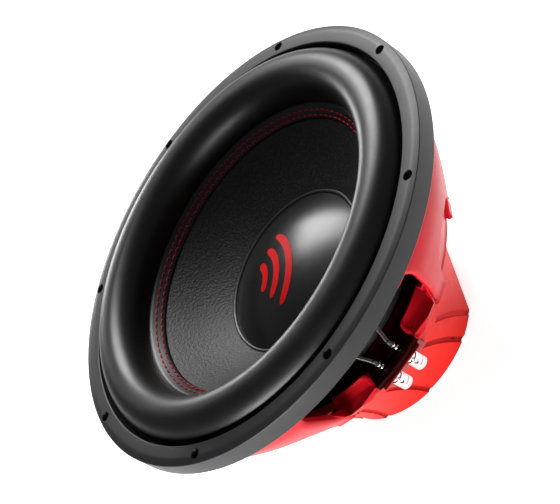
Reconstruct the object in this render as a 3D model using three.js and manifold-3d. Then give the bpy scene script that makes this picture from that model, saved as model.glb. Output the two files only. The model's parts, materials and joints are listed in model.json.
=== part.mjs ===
// Car subwoofer speaker: a 15-inch (380 mm class) driver standing on the flat rear face of its magnet boot.
// Millimetres, +Z up. The origin is the middle of the footprint, and +Z runs along the speaker's own axis
// towards the listener. One window of the basket, with a pair of push terminals in it, faces -Y, and the
// other pair of terminals faces +Y.

import * as THREE from 'three';
import { mergeVertices } from 'three/addons/utils/BufferGeometryUtils.js';
import Module from 'manifold-3d';

const wasm = await Module();
wasm.setup();

// ---------------------------------------------------------------- driving dimensions

const GAP = 0.3;                    // clearance between pieces that touch on the real speaker
const DEG = Math.PI / 180;
const FACE_Z = 186;                 // front face of the gasket ring above the boot's rear face
const RIM_R = 191.1;                // outer radius of the basket flange, inside the gasket ring's skirt
const BOLT_CIRCLE_R = 185;          // eight mounting holes on a 370 mm circle
const BOLT_HOLE_R = 4;
const BOLT_COUNT = 8;
const BOLT_CLOCK = 42.5 * DEG;      // the bolt holes are turned against the windows by this angle
const SEGMENTS = 32;                // facets round the large rings
const FINE = 24;                    // facets round the motor and the suspension

// flange, gasket and surround
const GASKET = {
  inner: 176, outer: 192.4, bottom: 170.4, slopeFrom: 187, edgeZ: 184.2, rebateR: 180.6, rebateZ: 172.7,
  skirtBottom: 168.4,
};
const FLANGE = { front: 170, rear: 166.8, inner: 158 };
const ROLL = { middle: 152.6, halfWidth: 21, base: 168, height: 30, power: 2.4, wall: 2 };
const LIP = { outerR: 131, outerZ: 168, innerR: 120.4, innerZ: 160, wall: 1.8 };

// cone, dust cap and voice coil
const CONE = { neckR: 33.3, neckZ: 104, capR: 70.3, capZ: 123.4, edgeR: 129.4, wall: 1.6 };
const CAP = { seatR: 69.6, seatZ: 124.6, sphereR: 140, wall: 1.3 };
const FORMER = { inner: 32.3, outer: 32.8, bottom: 38, top: 109 };
const WINDING = { inner: 33.05, layer: 0.7, step: 0.95, middle: 59.4, halfLength: 17 };

// suspension
const SPIDER = { outer: 97, wall: 0.8, amplitude: 2, waves: 4, lowerZ: 91.4, upperZ: 98.4 };
const LANDING = { inner: 88, outer: 98, top: 90.7 };

// motor
const POLE = { radius: 31.9, vent: 11, top: 66.5 };
const BACK_PLATE = { radius: 64, bottom: 3.5, top: 13.5 };
const MAGNET = { inner: 39, outer: 67, height: 20, first: 13.8 };
const TOP_PLATE = { inner: 35.6, outer: 65, bottom: 54.4, top: 64.4 };
const SHORTING_RING = { inner: 35.6, outer: 38.7, bottom: 15, height: 9 };
const MOTOR_SCREW = { circle: 52, radius: 2.5, count: 4, bottom: 55.6, headR: 4.6, headHeight: 3.4 };

// basket
const WINDOW_COUNT = 4;
const WINDOW = { top: 161.5, bottom: 97, halfTop: 71, halfBottom: 61, corner: 20, halfFoot: 48 };
const MOTOR_FLANGE = { bottom: 64.7, top: 70, inner: 36.5 };
const CUP = { inner: 82.5, outer: 88.4 };
const SHELF = { outer: 129, bottom: 83, top: 88 };
const PAD = { inner: 114.5, rim: 117.5, outer: 133, top: 94, low: 85, from: 10.5 * DEG, to: 23.5 * DEG };
const BAY = { inner: 126, outer: 133, half: 23 * DEG };      // the shelf reaches further out below each window
const LEG_END_Z = 79;
const LEG_WALL = 8;
const LEG_POCKET = { halfWidth: 29, bottom: 70, spring: 101, depth: 5.5 };

// terminals, with distances from the speaker's axis measured along the terminal pair's own direction
const POST = { distance: 128.6, spacing: 18.8, radius: 5.1, top: 81.4, holeZ: 78.2, end: 70.2 };
const WIRE_HOLE_R = 1.9;
// a button is a sleeve over its post: pushed 3 mm forward, its hole lines up with the post's
const BUTTON = { radius: 6, inner: 5.45, front: 78.1, holeZ: 75.2, end: 65.2, face: 1.5 };
const SPRING = { bottom: 66.95, top: 74.6, radius: 2.9, wire: 0.35, turns: 3 };
const BLOCK = {
  back: 108, faceTop: 121.8, faceBottom: 112.6, lipOut: 134.8, half: 22, bottom: 60, lip: 81.7, top: 82.7,
};
const TAB = {
  distance: 122.6, width: 5, thick: 1, bottom: 83, barrelBottom: 88.6, barrelTop: 95.2, barrelR: 2.5,
};
const LEAD_R = 1.5;
const LEAD_SPLAY = { left: -0.4, right: 0.1 };      // sideways, for each millimetre from the tab inwards

// magnet boot
const BOOT = {
  rear: 0, top: 82.7, rimR: 82.5, flare: 44, flarePower: 1.45, wall: 3.2, topWall: 5, ventR: 30,
};
const BOOT_FLOOR = 3.2;
const BOOT_STEP = 2.4;              // height of a ridge at the rear rim, dying out at BOOT_STEP_END
const BOOT_STEP_END = 72;
// ridges of one half of the boot: where each crosses the rear rim and the front edge, in degrees from the
// middle of the terminal pair, and whether the panel after it is flat instead of round
const BOOT_RIDGES = [
  { rear: -65.5, front: -29, flat: 0 },
  { rear: -45, front: -23.7, flat: 0 },
  { rear: -10.9, front: -17, flat: 0 },
  { rear: 24.3, front: 2, flat: 0 },
  { rear: 41.1, front: 12, flat: 1 },
  { rear: 100.3, front: 80, flat: 0 },
];
const PANEL_STEPS = 3;

// ---------------------------------------------------------------- materials

function finish(color, roughness, metalness) {
  return new THREE.MeshStandardMaterial({ color, roughness, metalness });
}

const castRed = finish(0xc8141e, 0.28, 0.35);
const rubberRed = finish(0xd8281f, 0.62, 0);
const rubberBlack = finish(0x2b2b2e, 0.6, 0);
const satinBlack = finish(0x1b1b1e, 0.35, 0);
const paperBlack = finish(0x232325, 0.85, 0);
const clothBrown = finish(0x8a6a3a, 0.9, 0);
const plastic = finish(0xb8201f, 0.5, 0);
const steel = finish(0x8d9094, 0.4, 0.9);
const ferrite = finish(0x3b3b3e, 0.7, 0.1);
const nickel = finish(0xd9dadc, 0.2, 1);
const copper = finish(0xb5653a, 0.35, 1);
const aluminium = finish(0xb9bcc0, 0.35, 0.9);
const zincBlack = finish(0x1f2022, 0.4, 0.7);

// ---------------------------------------------------------------- geometry helpers

const speaker = new THREE.Group();

function signedVolume(geometry) {
  const p = geometry.attributes.position;
  const index = geometry.index.array;
  const a = new THREE.Vector3();
  const b = new THREE.Vector3();
  const c = new THREE.Vector3();
  let volume = 0;
  for (let i = 0; i < index.length; i += 3) {
    a.fromBufferAttribute(p, index[i]);
    b.fromBufferAttribute(p, index[i + 1]);
    c.fromBufferAttribute(p, index[i + 2]);
    volume += a.dot(b.cross(c)) / 6;
  }
  return volume;
}

// one closed body with shared vertices and faces pointing out
function closed(geometry) {
  geometry.deleteAttribute('normal');
  geometry.deleteAttribute('uv');
  const body = mergeVertices(geometry, 1e-4);
  if (signedVolume(body) < 0) {
    body.setIndex(Array.from(body.index.array).reverse());
  }
  return body;
}

function toManifold(geometry) {
  return new wasm.Manifold(new wasm.Mesh({
    numProp: 3,
    vertProperties: new Float32Array(geometry.attributes.position.array),
    triVerts: new Uint32Array(geometry.index.array),
  }));
}

function fromManifold(manifold) {
  const mesh = manifold.getMesh();
  const geometry = new THREE.BufferGeometry();
  geometry.setAttribute('position', new THREE.BufferAttribute(new Float32Array(mesh.vertProperties), 3));
  geometry.setIndex(new THREE.BufferAttribute(new Uint32Array(mesh.triVerts), 1));
  return geometry;
}

function cut(body, tools) {
  let solid = toManifold(body);
  for (const tool of tools) {
    solid = solid.subtract(toManifold(tool));
  }
  return fromManifold(solid);
}

function join(bodies) {
  let solid = toManifold(bodies[0]);
  for (const body of bodies.slice(1)) {
    solid = solid.add(toManifold(body));
  }
  return fromManifold(solid);
}

// solid of revolution about +Z; the outline is a list of [radius, z] that closes on itself,
// or one that starts and ends on the axis
function revolve(outline, segments = SEGMENTS) {
  const points = outline.map(([r, z]) => new THREE.Vector2(r, z));
  const onAxis = outline[0][0] === 0;
  if (!onAxis) {
    points.push(points[0].clone());
  }
  const geometry = new THREE.LatheGeometry(points, segments, Math.PI / 2);
  geometry.rotateX(Math.PI / 2);
  return closed(geometry);
}

function tube(inner, outer, bottom, top, segments = FINE) {
  return revolve([[inner, bottom], [outer, bottom], [outer, top], [inner, top]], segments);
}

function rod(radius, bottom, top, segments = 16) {
  return revolve([[0, bottom], [radius, bottom], [radius, top], [0, top]], segments);
}

// prism of a shape drawn in the X-Z plane, running along Y from near to far
function prismAlongY(shape, near, far, curveSegments = 3) {
  const options = { depth: far - near, bevelEnabled: false, curveSegments };
  const geometry = new THREE.ExtrudeGeometry(shape, options);
  geometry.rotateX(Math.PI / 2);
  geometry.translate(0, far, 0);
  return closed(geometry);
}

// prism of a shape drawn in the X-Y plane, running along Z
function prismAlongZ(shape, bottom, top, curveSegments = 3) {
  const options = { depth: top - bottom, bevelEnabled: false, curveSegments };
  const geometry = new THREE.ExtrudeGeometry(shape, options);
  geometry.translate(0, 0, bottom);
  return closed(geometry);
}

function box(width, depth, height, x, y, z) {
  const geometry = new THREE.BoxGeometry(width, depth, height);
  geometry.translate(x, y, z);
  return closed(geometry);
}

function turned(geometry, angle) {
  return geometry.clone().rotateZ(angle);
}

// closed body through rings of points: each ring is joined to the next, and the last to the first
function loftLoop(rings) {
  const count = rings[0].length;
  const positions = rings.flat().flatMap((p) => [p.x, p.y, p.z]);
  const index = [];
  rings.forEach((ring, i) => {
    const here = i * count;
    const next = ((i + 1) % rings.length) * count;
    for (let j = 0; j < count; j += 1) {
      const k = (j + 1) % count;
      index.push(here + j, here + k, next + k, here + j, next + k, next + j);
    }
  });
  const geometry = new THREE.BufferGeometry();
  geometry.setAttribute('position', new THREE.Float32BufferAttribute(positions, 3));
  geometry.setIndex(index);
  return closed(geometry);
}

function alongPath(points, radius, sides, steps) {
  const section = new THREE.Shape();
  for (let i = 0; i < sides; i += 1) {
    const angle = (i / sides) * 2 * Math.PI;
    const x = radius * Math.cos(angle);
    const y = radius * Math.sin(angle);
    if (i === 0) {
      section.moveTo(x, y);
    } else {
      section.lineTo(x, y);
    }
  }
  section.closePath();
  const path = new THREE.CatmullRomCurve3(points, false, 'centripetal');
  return closed(new THREE.ExtrudeGeometry(section, { steps, bevelEnabled: false, extrudePath: path }));
}

function add(name, geometry, material) {
  const mesh = new THREE.Mesh(geometry, material);
  mesh.name = name;
  speaker.add(mesh);
  return mesh;
}

// ---------------------------------------------------------------- gasket ring and surround

function boltHoles(radius, bottom, top) {
  const holes = [];
  for (let i = 0; i < BOLT_COUNT; i += 1) {
    const hole = rod(radius, bottom, top, 12);
    hole.translate(BOLT_CIRCLE_R, 0, 0);
    holes.push(turned(hole, BOLT_CLOCK + (i / BOLT_COUNT) * 2 * Math.PI));
  }
  return holes;
}

function gasketRing() {
  const { inner, outer, bottom, slopeFrom, edgeZ, rebateR, rebateZ, skirtBottom } = GASKET;
  const ring = revolve([
    [inner, rebateZ], [rebateR, rebateZ], [rebateR, bottom], [RIM_R + GAP, bottom],
    [RIM_R + GAP, skirtBottom], [outer, skirtBottom], [outer, edgeZ - 0.6], [outer - 0.6, edgeZ],
    [slopeFrom, FACE_Z], [inner + 1.5, FACE_Z], [inner, FACE_Z - 1.5],
  ]);
  return cut(ring, boltHoles(BOLT_HOLE_R, bottom - 5, FACE_Z + 5));
}

// height of the roll's outer skin at a radius, a superellipse over its base line
function rollHeight(radius, halfWidth, height) {
  const x = Math.min(1, Math.abs(radius - ROLL.middle) / halfWidth);
  return height * (1 - x ** ROLL.power) ** (1 / ROLL.power);
}

function rollArc(halfWidth, height, steps) {
  const points = [];
  for (let i = 0; i <= steps; i += 1) {
    const radius = ROLL.middle - halfWidth * Math.cos((i / steps) * Math.PI);
    points.push([radius, ROLL.base + rollHeight(radius, halfWidth, height)]);
  }
  return points;
}

function surround() {
  const flat = FLANGE.front + GAP;
  const outside = rollArc(ROLL.halfWidth, ROLL.height, 9).filter(([r, z]) => r < ROLL.middle || z > flat + 3);
  const inside = rollArc(ROLL.halfWidth - ROLL.wall, ROLL.height - ROLL.wall, 7).reverse();
  return revolve([
    [LIP.innerR, LIP.innerZ - LIP.wall], [LIP.innerR, LIP.innerZ], [LIP.outerR - 1.6, LIP.outerZ],
    ...outside,
    [GASKET.inner - 0.2, flat + ROLL.wall], [GASKET.rebateR - GAP, flat + ROLL.wall],
    [GASKET.rebateR - GAP, flat], [ROLL.middle + ROLL.halfWidth - ROLL.wall, flat],
    ...inside.filter(([, z]) => z > flat),
    [LIP.outerR + 0.8, LIP.outerZ - LIP.wall],
  ]);
}

// ---------------------------------------------------------------- cone, dust cap and voice coil

function cone() {
  const { neckR, neckZ, capR, capZ, edgeR, wall } = CONE;
  const slope = (LIP.outerZ - LIP.innerZ) / (LIP.outerR - LIP.innerR);
  const underLip = LIP.innerZ - LIP.wall - GAP;
  const edgeZ = underLip + slope * (edgeR - LIP.innerR) - GAP;
  return revolve([
    [neckR, neckZ - wall], [capR, capZ - 1.2 * wall], [LIP.innerR, underLip - 1.2 * wall],
    [edgeR, edgeZ - 1.2 * wall], [edgeR, edgeZ], [LIP.innerR - GAP, underLip], [capR, capZ],
    [neckR + 4, neckZ + 2], [neckR, neckZ + 2],
  ]);
}

// spherical dome that ends in a flat foot on the cone
function dustCap() {
  const { seatR, seatZ, sphereR, wall } = CAP;
  const edgeAngle = Math.asin(seatR / sphereR);
  const centreZ = seatZ - sphereR * Math.cos(edgeAngle);
  const dome = (radius, steps, reverse) => {
    const points = [];
    for (let i = 0; i <= steps; i += 1) {
      const angle = (reverse ? 1 - i / steps : i / steps) * edgeAngle;
      points.push([radius * Math.sin(angle), centreZ + radius * Math.cos(angle)]);
    }
    return points;
  };
  const outside = dome(sphereR, 6, false);
  const inside = dome(sphereR - wall, 4, true);
  outside[0][0] = 0;
  inside[inside.length - 1][0] = 0;
  return revolve([...outside, ...inside]);
}

// bead of adhesive that seals the dust cap to the cone
function capBead() {
  const { seatR, seatZ } = CAP;
  const inner = seatR + GAP;
  return revolve([
    [inner, seatZ - 0.9], [inner, seatZ + 0.5], [inner + 1.1, seatZ + 1.1], [inner + 2.4, seatZ + 1.2],
    [inner + 3.6, seatZ + 1.4],
  ]);
}

function winding(layer) {
  const inner = WINDING.inner + layer * WINDING.step;
  const { layer: thickness, middle, halfLength } = WINDING;
  return tube(inner, inner + thickness, middle - halfLength, middle + halfLength);
}

// ---------------------------------------------------------------- suspension

function spider(z) {
  const { outer, wall, amplitude, waves } = SPIDER;
  const inner = FORMER.outer + GAP;
  const rollsFrom = inner + 3;
  const rollsTo = CUP.inner - 3;
  const steps = waves * 2;
  const middle = [];
  for (let i = 0; i <= steps; i += 1) {
    const radius = rollsFrom + ((rollsTo - rollsFrom) * i) / steps;
    middle.push([radius, z + (i % 2 === 0 ? -amplitude : amplitude)]);
  }
  const line = [[inner, z], ...middle, [CUP.inner, z], [outer, z]];
  const upper = line.map(([r, h]) => [r, h + wall / 2]);
  const lower = line.map(([r, h]) => [r, h - wall / 2]).reverse();
  return revolve([...upper, ...lower], FINE);
}

function spiderSpacer() {
  const { wall, lowerZ, upperZ, outer } = SPIDER;
  return tube(LANDING.inner + 0.5, outer, lowerZ + wall / 2 + GAP, upperZ - wall / 2 - GAP, SEGMENTS);
}

// ---------------------------------------------------------------- motor

function yoke() {
  const { radius, vent, top } = POLE;
  const plate = BACK_PLATE;
  return revolve([
    [vent + 4, plate.bottom], [plate.radius - 3, plate.bottom], [plate.radius, plate.bottom + 3],
    [plate.radius, plate.top], [radius, plate.top], [radius, top - 1], [radius - 1, top],
    [vent + 3, top], [vent, top - 4], [vent, plate.bottom + 6],
  ], FINE);
}

function magnet(number) {
  const bottom = MAGNET.first + number * (MAGNET.height + GAP);
  const { inner, outer } = MAGNET;
  const top = bottom + MAGNET.height;
  return revolve([
    [inner, bottom], [outer - 1, bottom], [outer, bottom + 1], [outer, top - 1], [outer - 1, top],
    [inner, top],
  ], FINE);
}

function topPlate() {
  const plate = tube(TOP_PLATE.inner, TOP_PLATE.outer, TOP_PLATE.bottom, TOP_PLATE.top);
  return cut(plate, motorScrewPlaces((angle) => screwBore(angle, MOTOR_SCREW.radius + GAP)));
}

function motorScrewPlaces(make) {
  const places = [];
  for (let i = 0; i < MOTOR_SCREW.count; i += 1) {
    places.push(make((i / MOTOR_SCREW.count) * 2 * Math.PI));
  }
  return places;
}

function screwBore(angle, radius) {
  const bore = rod(radius, MOTOR_SCREW.bottom - 4, MOTOR_FLANGE.top + 4, 12);
  bore.translate(MOTOR_SCREW.circle, 0, 0);
  return turned(bore, angle);
}

function motorScrew(angle) {
  const { circle, radius, bottom, headR, headHeight } = MOTOR_SCREW;
  const head = MOTOR_FLANGE.top + GAP;
  const screw = revolve([
    [0, bottom], [radius, bottom], [radius, head], [headR, head], [headR, head + headHeight - 1],
    [headR - 1, head + headHeight], [1.9, head + headHeight], [1.9, head + headHeight - 2],
    [0, head + headHeight - 2],
  ], 12);
  screw.translate(circle, 0, 0);
  return turned(screw, angle);
}

// ---------------------------------------------------------------- basket

// the bowl from the flange down to the ends of the legs, with the flange on top
function bowl() {
  const outside = [
    [152.5, 110.5], [161, 123.5], [170, 139], [175, 153], [176, FLANGE.rear],
  ];
  const inside = outside.map(([r, z]) => [r - LEG_WALL * 0.86, z + LEG_WALL * 0.5]).slice(0, -1).reverse();
  return revolve([
    [131.5, LEG_END_Z], [135, 86], [144.5, 99], ...outside,
    [RIM_R, FLANGE.rear], [RIM_R, FLANGE.front], [FLANGE.inner, FLANGE.front], [FLANGE.inner, 166],
    ...inside,
    [139.5, 103], [128, 92], [122, 88.5], [122, SHELF.bottom], [127.4, SHELF.bottom], [127.4, LEG_END_Z],
  ]);
}

// the middle: motor flange, the cup that gives the spider room, its landing, and the shelf round it
function basketMiddle() {
  const { bottom, top, inner } = MOTOR_FLANGE;
  return revolve([
    [inner, bottom], [CUP.outer, bottom], [CUP.outer, SHELF.bottom], [SHELF.outer, SHELF.bottom],
    [SHELF.outer, SHELF.top - 1], [SHELF.outer - 1, SHELF.top], [LANDING.outer + 4, SHELF.top],
    [LANDING.outer + 1, LANDING.top], [LANDING.inner - 2, LANDING.top], [CUP.inner, LANDING.top - 4],
    [CUP.inner, top], [inner, top],
  ]);
}

function annulusSector(inner, outer, from, to) {
  const shape = new THREE.Shape();
  shape.absarc(0, 0, outer, from, to, false);
  shape.absarc(0, 0, inner, to, from, true);
  shape.closePath();
  return shape;
}

// rounded trapezoid in the X-Z plane, the shape of one window
function windowOutline() {
  const { top, bottom, halfTop, halfBottom, corner } = WINDOW;
  const shape = new THREE.Shape();
  const corners = [[-halfBottom, bottom], [halfBottom, bottom], [halfTop, top], [-halfTop, top]];
  corners.forEach(([x, z], i) => {
    const before = corners[(i + 3) % 4];
    const after = corners[(i + 1) % 4];
    const back = new THREE.Vector2(before[0] - x, before[1] - z).setLength(corner);
    const on = new THREE.Vector2(after[0] - x, after[1] - z).setLength(corner);
    if (i === 0) {
      shape.moveTo(x + back.x, z + back.y);
    } else {
      shape.lineTo(x + back.x, z + back.y);
    }
    shape.quadraticCurveTo(x, z, x + on.x, z + on.y);
  });
  shape.closePath();
  return shape;
}

// arch-topped pocket on the outside of a leg, drawn in the X-Z plane
function pocketOutline() {
  const { halfWidth, bottom, spring } = LEG_POCKET;
  const shape = new THREE.Shape();
  shape.moveTo(-halfWidth, bottom);
  shape.lineTo(halfWidth, bottom);
  shape.lineTo(halfWidth, spring);
  shape.absellipse(0, spring, halfWidth, 118.5 - spring, 0, Math.PI, false);
  shape.closePath();
  return shape;
}

// a pocket's cutter follows the leg's outer skin at the pocket's depth
function legPocket() {
  const prism = prismAlongY(pocketOutline(), -200, -100);
  const d = LEG_POCKET.depth;
  const core = revolve([
    [0, 60], [131.5 - d, 60], [131.5 - d, LEG_END_Z], [135 - d, 86], [144.5 - d, 99],
    [152.5 - d, 110.5], [161 - d, 123.5], [0, 123.5],
  ]);
  return fromManifold(toManifold(prism).subtract(toManifold(core)));
}

// tongue beside a window's lower corner, highest near its inner end and sloping down outwards
function pad(from) {
  const { inner, rim, outer, top, low } = PAD;
  const shape = annulusSector(inner, outer, from, from + PAD.to - PAD.from);
  const slope = revolve([[inner - 5, low - 1], [outer, low - 1], [outer, low], [rim, top], [inner - 5, top]]);
  return fromManifold(toManifold(prismAlongZ(shape, low - 1, top)).intersect(toManifold(slope)));
}

function basket() {
  const pads = [];
  const bays = [];
  const windows = [];
  const pockets = [];
  const bayCuts = [];
  const outline = windowOutline();
  for (let i = 0; i < WINDOW_COUNT; i += 1) {
    const angle = (i / WINDOW_COUNT) * 2 * Math.PI;
    windows.push(turned(prismAlongY(outline, -210, -SHELF.outer - 1.2), angle));
    windows.push(...legGaps().map((gap) => turned(gap, angle)));
    pockets.push(turned(legPocket(), angle + Math.PI / WINDOW_COUNT));
    const bay = annulusSector(BAY.inner, BAY.outer, -Math.PI / 2 - BAY.half, -Math.PI / 2 + BAY.half);
    bays.push(turned(prismAlongZ(bay, SHELF.bottom, SHELF.top, 6), angle));
    for (const side of [-1, 1]) {
      const from = -Math.PI / 2 + (side > 0 ? PAD.from : -PAD.to);
      pads.push(turned(pad(from), angle));
    }
  }
  for (const side of [0, 1]) {
    const slot = box(34, 6, 12, 0, -TAB.distance, SHELF.top - 2);
    bayCuts.push(turned(slot, side * Math.PI));
  }
  const ring = cut(bowl(), [...windows, ...pockets]);
  const whole = join([ring, basketMiddle(), ...bays, ...pads]);
  const holes = boltHoles(BOLT_HOLE_R, FLANGE.rear - 3, FLANGE.front + 3);
  const screws = motorScrewPlaces((angle) => screwBore(angle, MOTOR_SCREW.radius + GAP));
  return cut(whole, [...bayCuts, ...holes, ...screws]);
}

// below each window the bowl is open down to the ends of the legs, all round the shelf's own disc
function legGaps() {
  const slab = (bottom, top, far) => {
    const shape = new THREE.Shape();
    const low = WINDOW.halfFoot;
    const high = WINDOW.halfFoot + 7;
    shape.moveTo(-low, bottom);
    shape.lineTo(low, bottom);
    shape.lineTo(high, top);
    shape.lineTo(-high, top);
    shape.closePath();
    return prismAlongY(shape, -210, far);
  };
  return [
    slab(LEG_END_Z - 8, SHELF.bottom, -SHELF.outer + 20),
    slab(SHELF.bottom, SHELF.top, -SHELF.outer),
    slab(SHELF.top, WINDOW.bottom + 8, -SHELF.outer + 20),
  ];
}

// ---------------------------------------------------------------- terminals and leads

function terminalBlock() {
  const { back, faceTop, faceBottom, lipOut, half, bottom, lip, top } = BLOCK;
  const shape = new THREE.Shape();
  shape.moveTo(back, bottom);
  shape.lineTo(faceBottom, bottom);
  shape.lineTo(faceTop, lip);
  shape.lineTo(lipOut, lip);
  shape.lineTo(lipOut, top);
  shape.lineTo(back, top);
  shape.closePath();
  const prism = prismAlongY(shape, -half, half);
  return prism.rotateZ(-Math.PI / 2);
}

// cutter for the hole that takes the bare end of a wire, from the outside of the speaker inwards
function wireHole(z, inner) {
  const hole = rod(WIRE_HOLE_R, inner, 12, 10);
  hole.rotateX(Math.PI / 2);
  hole.translate(0, 0, z);
  return hole;
}

function terminalPost() {
  const { radius, top, holeZ, end } = POST;
  const recess = SPRING.radius + 1.1;
  const body = revolve([
    [0, top], [radius - 0.6, top], [radius, top - 0.6], [radius, end], [recess, end],
    [recess, SPRING.top + GAP], [0, SPRING.top + GAP],
  ], 16);
  return cut(body, [wireHole(holeZ, 1.2)]);
}

function terminalButton() {
  const { radius, inner, front, holeZ, end, face } = BUTTON;
  const body = revolve([
    [0, end], [radius - 0.8, end], [radius, end + 0.8], [radius, front - 0.4], [radius - 0.2, front],
    [inner, front], [inner, end + face], [0, end + face],
  ], 16);
  return cut(body, [wireHole(holeZ, 3)]);
}

function terminalSpring() {
  const { bottom, top, radius, wire, turns } = SPRING;
  const points = [];
  const steps = turns * 8;
  for (let i = 0; i <= steps; i += 1) {
    const angle = (i / steps) * turns * 2 * Math.PI;
    const z = bottom + wire + ((top - bottom - 2 * wire) * i) / steps;
    points.push(new THREE.Vector3(radius * Math.cos(angle), radius * Math.sin(angle), z));
  }
  return alongPath(points, wire, 5, steps);
}

function leadTab() {
  const { width, thick, bottom, barrelBottom, barrelTop, barrelR } = TAB;
  const strip = box(width, thick, barrelBottom + 2 - bottom, 0, 0, (bottom + barrelBottom + 2) / 2);
  const barrel = rod(barrelR, barrelBottom, barrelTop, 12);
  return join([strip, barrel]);
}

// flexible lead from the back of the cone over the spider and down to its tab
function tinselLead(splay) {
  const route = [
    [60.4, 114.2], [65, 110.6], [76, 107.6], [88, 105.6], [98, 103.8], [106, 101.9], [113, 100.4],
    [118.2, 100], [121.4, 99.2], [TAB.distance, 97.6], [TAB.distance, TAB.barrelTop + 2 * GAP],
  ];
  const points = route.map(([r, z]) => new THREE.Vector3(splay * (TAB.distance - r), -r, z));
  return alongPath(points, LEAD_R, 8, 18);
}

// ---------------------------------------------------------------- magnet boot

function bootRadius(z) {
  return BOOT.rimR + BOOT.flare * (Math.max(0, z) / BOOT.top) ** BOOT.flarePower;
}

// one ring of the boot's outer skin: panels between ridges, each ridge a small step
function bootRing(z, inset) {
  const points = [];
  const along = z / BOOT.top;
  const step = BOOT_STEP * Math.max(0, 1 - z / BOOT_STEP_END);
  const radius = bootRadius(z) - inset;
  const ridges = [0, 180].flatMap((turn) => BOOT_RIDGES.map(({ rear, front, flat }) => (
    { rear: rear + turn, front: front + turn, flat })));
  const angleOf = (ridge) => (ridge.rear + (ridge.front - ridge.rear) * along) * DEG;
  ridges.forEach((ridge, i) => {
    const next = ridges[(i + 1) % ridges.length];
    const from = angleOf(ridge);
    const to = angleOf(next) + (i === ridges.length - 1 ? 2 * Math.PI : 0);
    const half = (to - from) / 2;
    for (let k = 0; k <= PANEL_STEPS; k += 1) {
      // the panel's last point stops just short of the next ridge, so each ridge is a narrow wall
      const part = k === PANEL_STEPS ? 1 - 0.6 * DEG / (2 * half) : k / PANEL_STEPS;
      const angle = from + (to - from) * part;
      const chord = Math.cos(half) / Math.cos(angle - from - half);
      const flatness = ridge.flat * (1 - along) ** 1.5;
      const lower = along < 1 ? step * sideOfStep(ridge, part) : 0;
      const r = radius * (1 + (chord - 1) * flatness) - lower;
      points.push(new THREE.Vector3(r * Math.sin(angle), -r * Math.cos(angle), z));
    }
  });
  return points;
}

// steps face the terminal pair: a panel on the positive side is high at its start, on the other at its end
function sideOfStep(ridge, part) {
  return ridge.rear >= 0 && ridge.rear < 180 ? part : 1 - part;
}

function plainRing(radius, z) {
  return bootRing(BOOT.top, 0).map((p) => {
    const scale = radius / Math.hypot(p.x, p.y);
    return new THREE.Vector3(p.x * scale, p.y * scale, z);
  });
}

function magnetBoot() {
  const { top, wall, topWall, ventR } = BOOT;
  const levels = [3, 22, 42, 62, top];
  const outer = levels.map((z) => bootRing(z, 0));
  const innerLevels = [...levels].reverse().slice(0, -1);
  const inner = innerLevels.map((z) => bootRing(z, wall + (topWall - wall) * (z / top)));
  const floorRing = bootRing(3, wall).map((p) => new THREE.Vector3(p.x, p.y, BOOT_FLOOR));
  const shell = loftLoop([
    plainRing(ventR, BOOT.rear),
    bootRing(0, 3).map((p) => new THREE.Vector3(p.x, p.y, BOOT.rear)),
    ...outer,
    ...inner,
    floorRing,
    plainRing(ventR, BOOT_FLOOR),
  ]);
  const pockets = [0, 1].map((side) => {
    const { back, half, bottom } = BLOCK;
    const depth = 60;
    const pocket = box(2 * (half + GAP), depth, 60, 0, -(back - GAP + depth / 2), bottom - GAP + 30);
    return turned(pocket, side * Math.PI);
  });
  return cut(shell, pockets);
}

// perforated disc that keeps dirt out of the pole vent
function ventScreen() {
  const disc = rod(BOOT.ventR - 16.5, 4.2, 5, 24);
  const holes = [];
  for (let i = 0; i < 6; i += 1) {
    const hole = rod(2.2, 3, 6.5, 8);
    hole.translate(6.5, 0, 0);
    holes.push(turned(hole, (i / 6) * 2 * Math.PI));
  }
  holes.push(rod(2.2, 3, 6.5, 8));
  return cut(disc, holes);
}

// ---------------------------------------------------------------- the assembly

add('gasket_ring', gasketRing(), rubberBlack);
add('surround', surround(), satinBlack);
add('cone', cone(), paperBlack);
add('dust_cap', dustCap(), satinBlack);
add('cap_bead', capBead(), satinBlack);
add('coil_former', tube(FORMER.inner, FORMER.outer, FORMER.bottom, FORMER.top), aluminium);
add('coil_winding_inner', winding(0), copper);
add('coil_winding_outer', winding(1), copper);
add('spider_lower', spider(SPIDER.lowerZ), clothBrown);
add('spider_upper', spider(SPIDER.upperZ), clothBrown);
add('spider_spacer', spiderSpacer(), rubberBlack);
add('basket', basket(), castRed);
add('top_plate', topPlate(), steel);
add('magnet_front', magnet(1), ferrite);
add('magnet_rear', magnet(0), ferrite);
add('yoke', yoke(), steel);
add('shorting_ring', tube(SHORTING_RING.inner, SHORTING_RING.outer, SHORTING_RING.bottom,
  SHORTING_RING.bottom + SHORTING_RING.height), aluminium);
add('vent_screen', ventScreen(), zincBlack);
add('magnet_boot', magnetBoot(), rubberRed);
motorScrewPlaces((angle) => motorScrew(angle)).forEach((screw, i) => {
  add(`motor_screw_${i + 1}`, screw, zincBlack);
});

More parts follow.
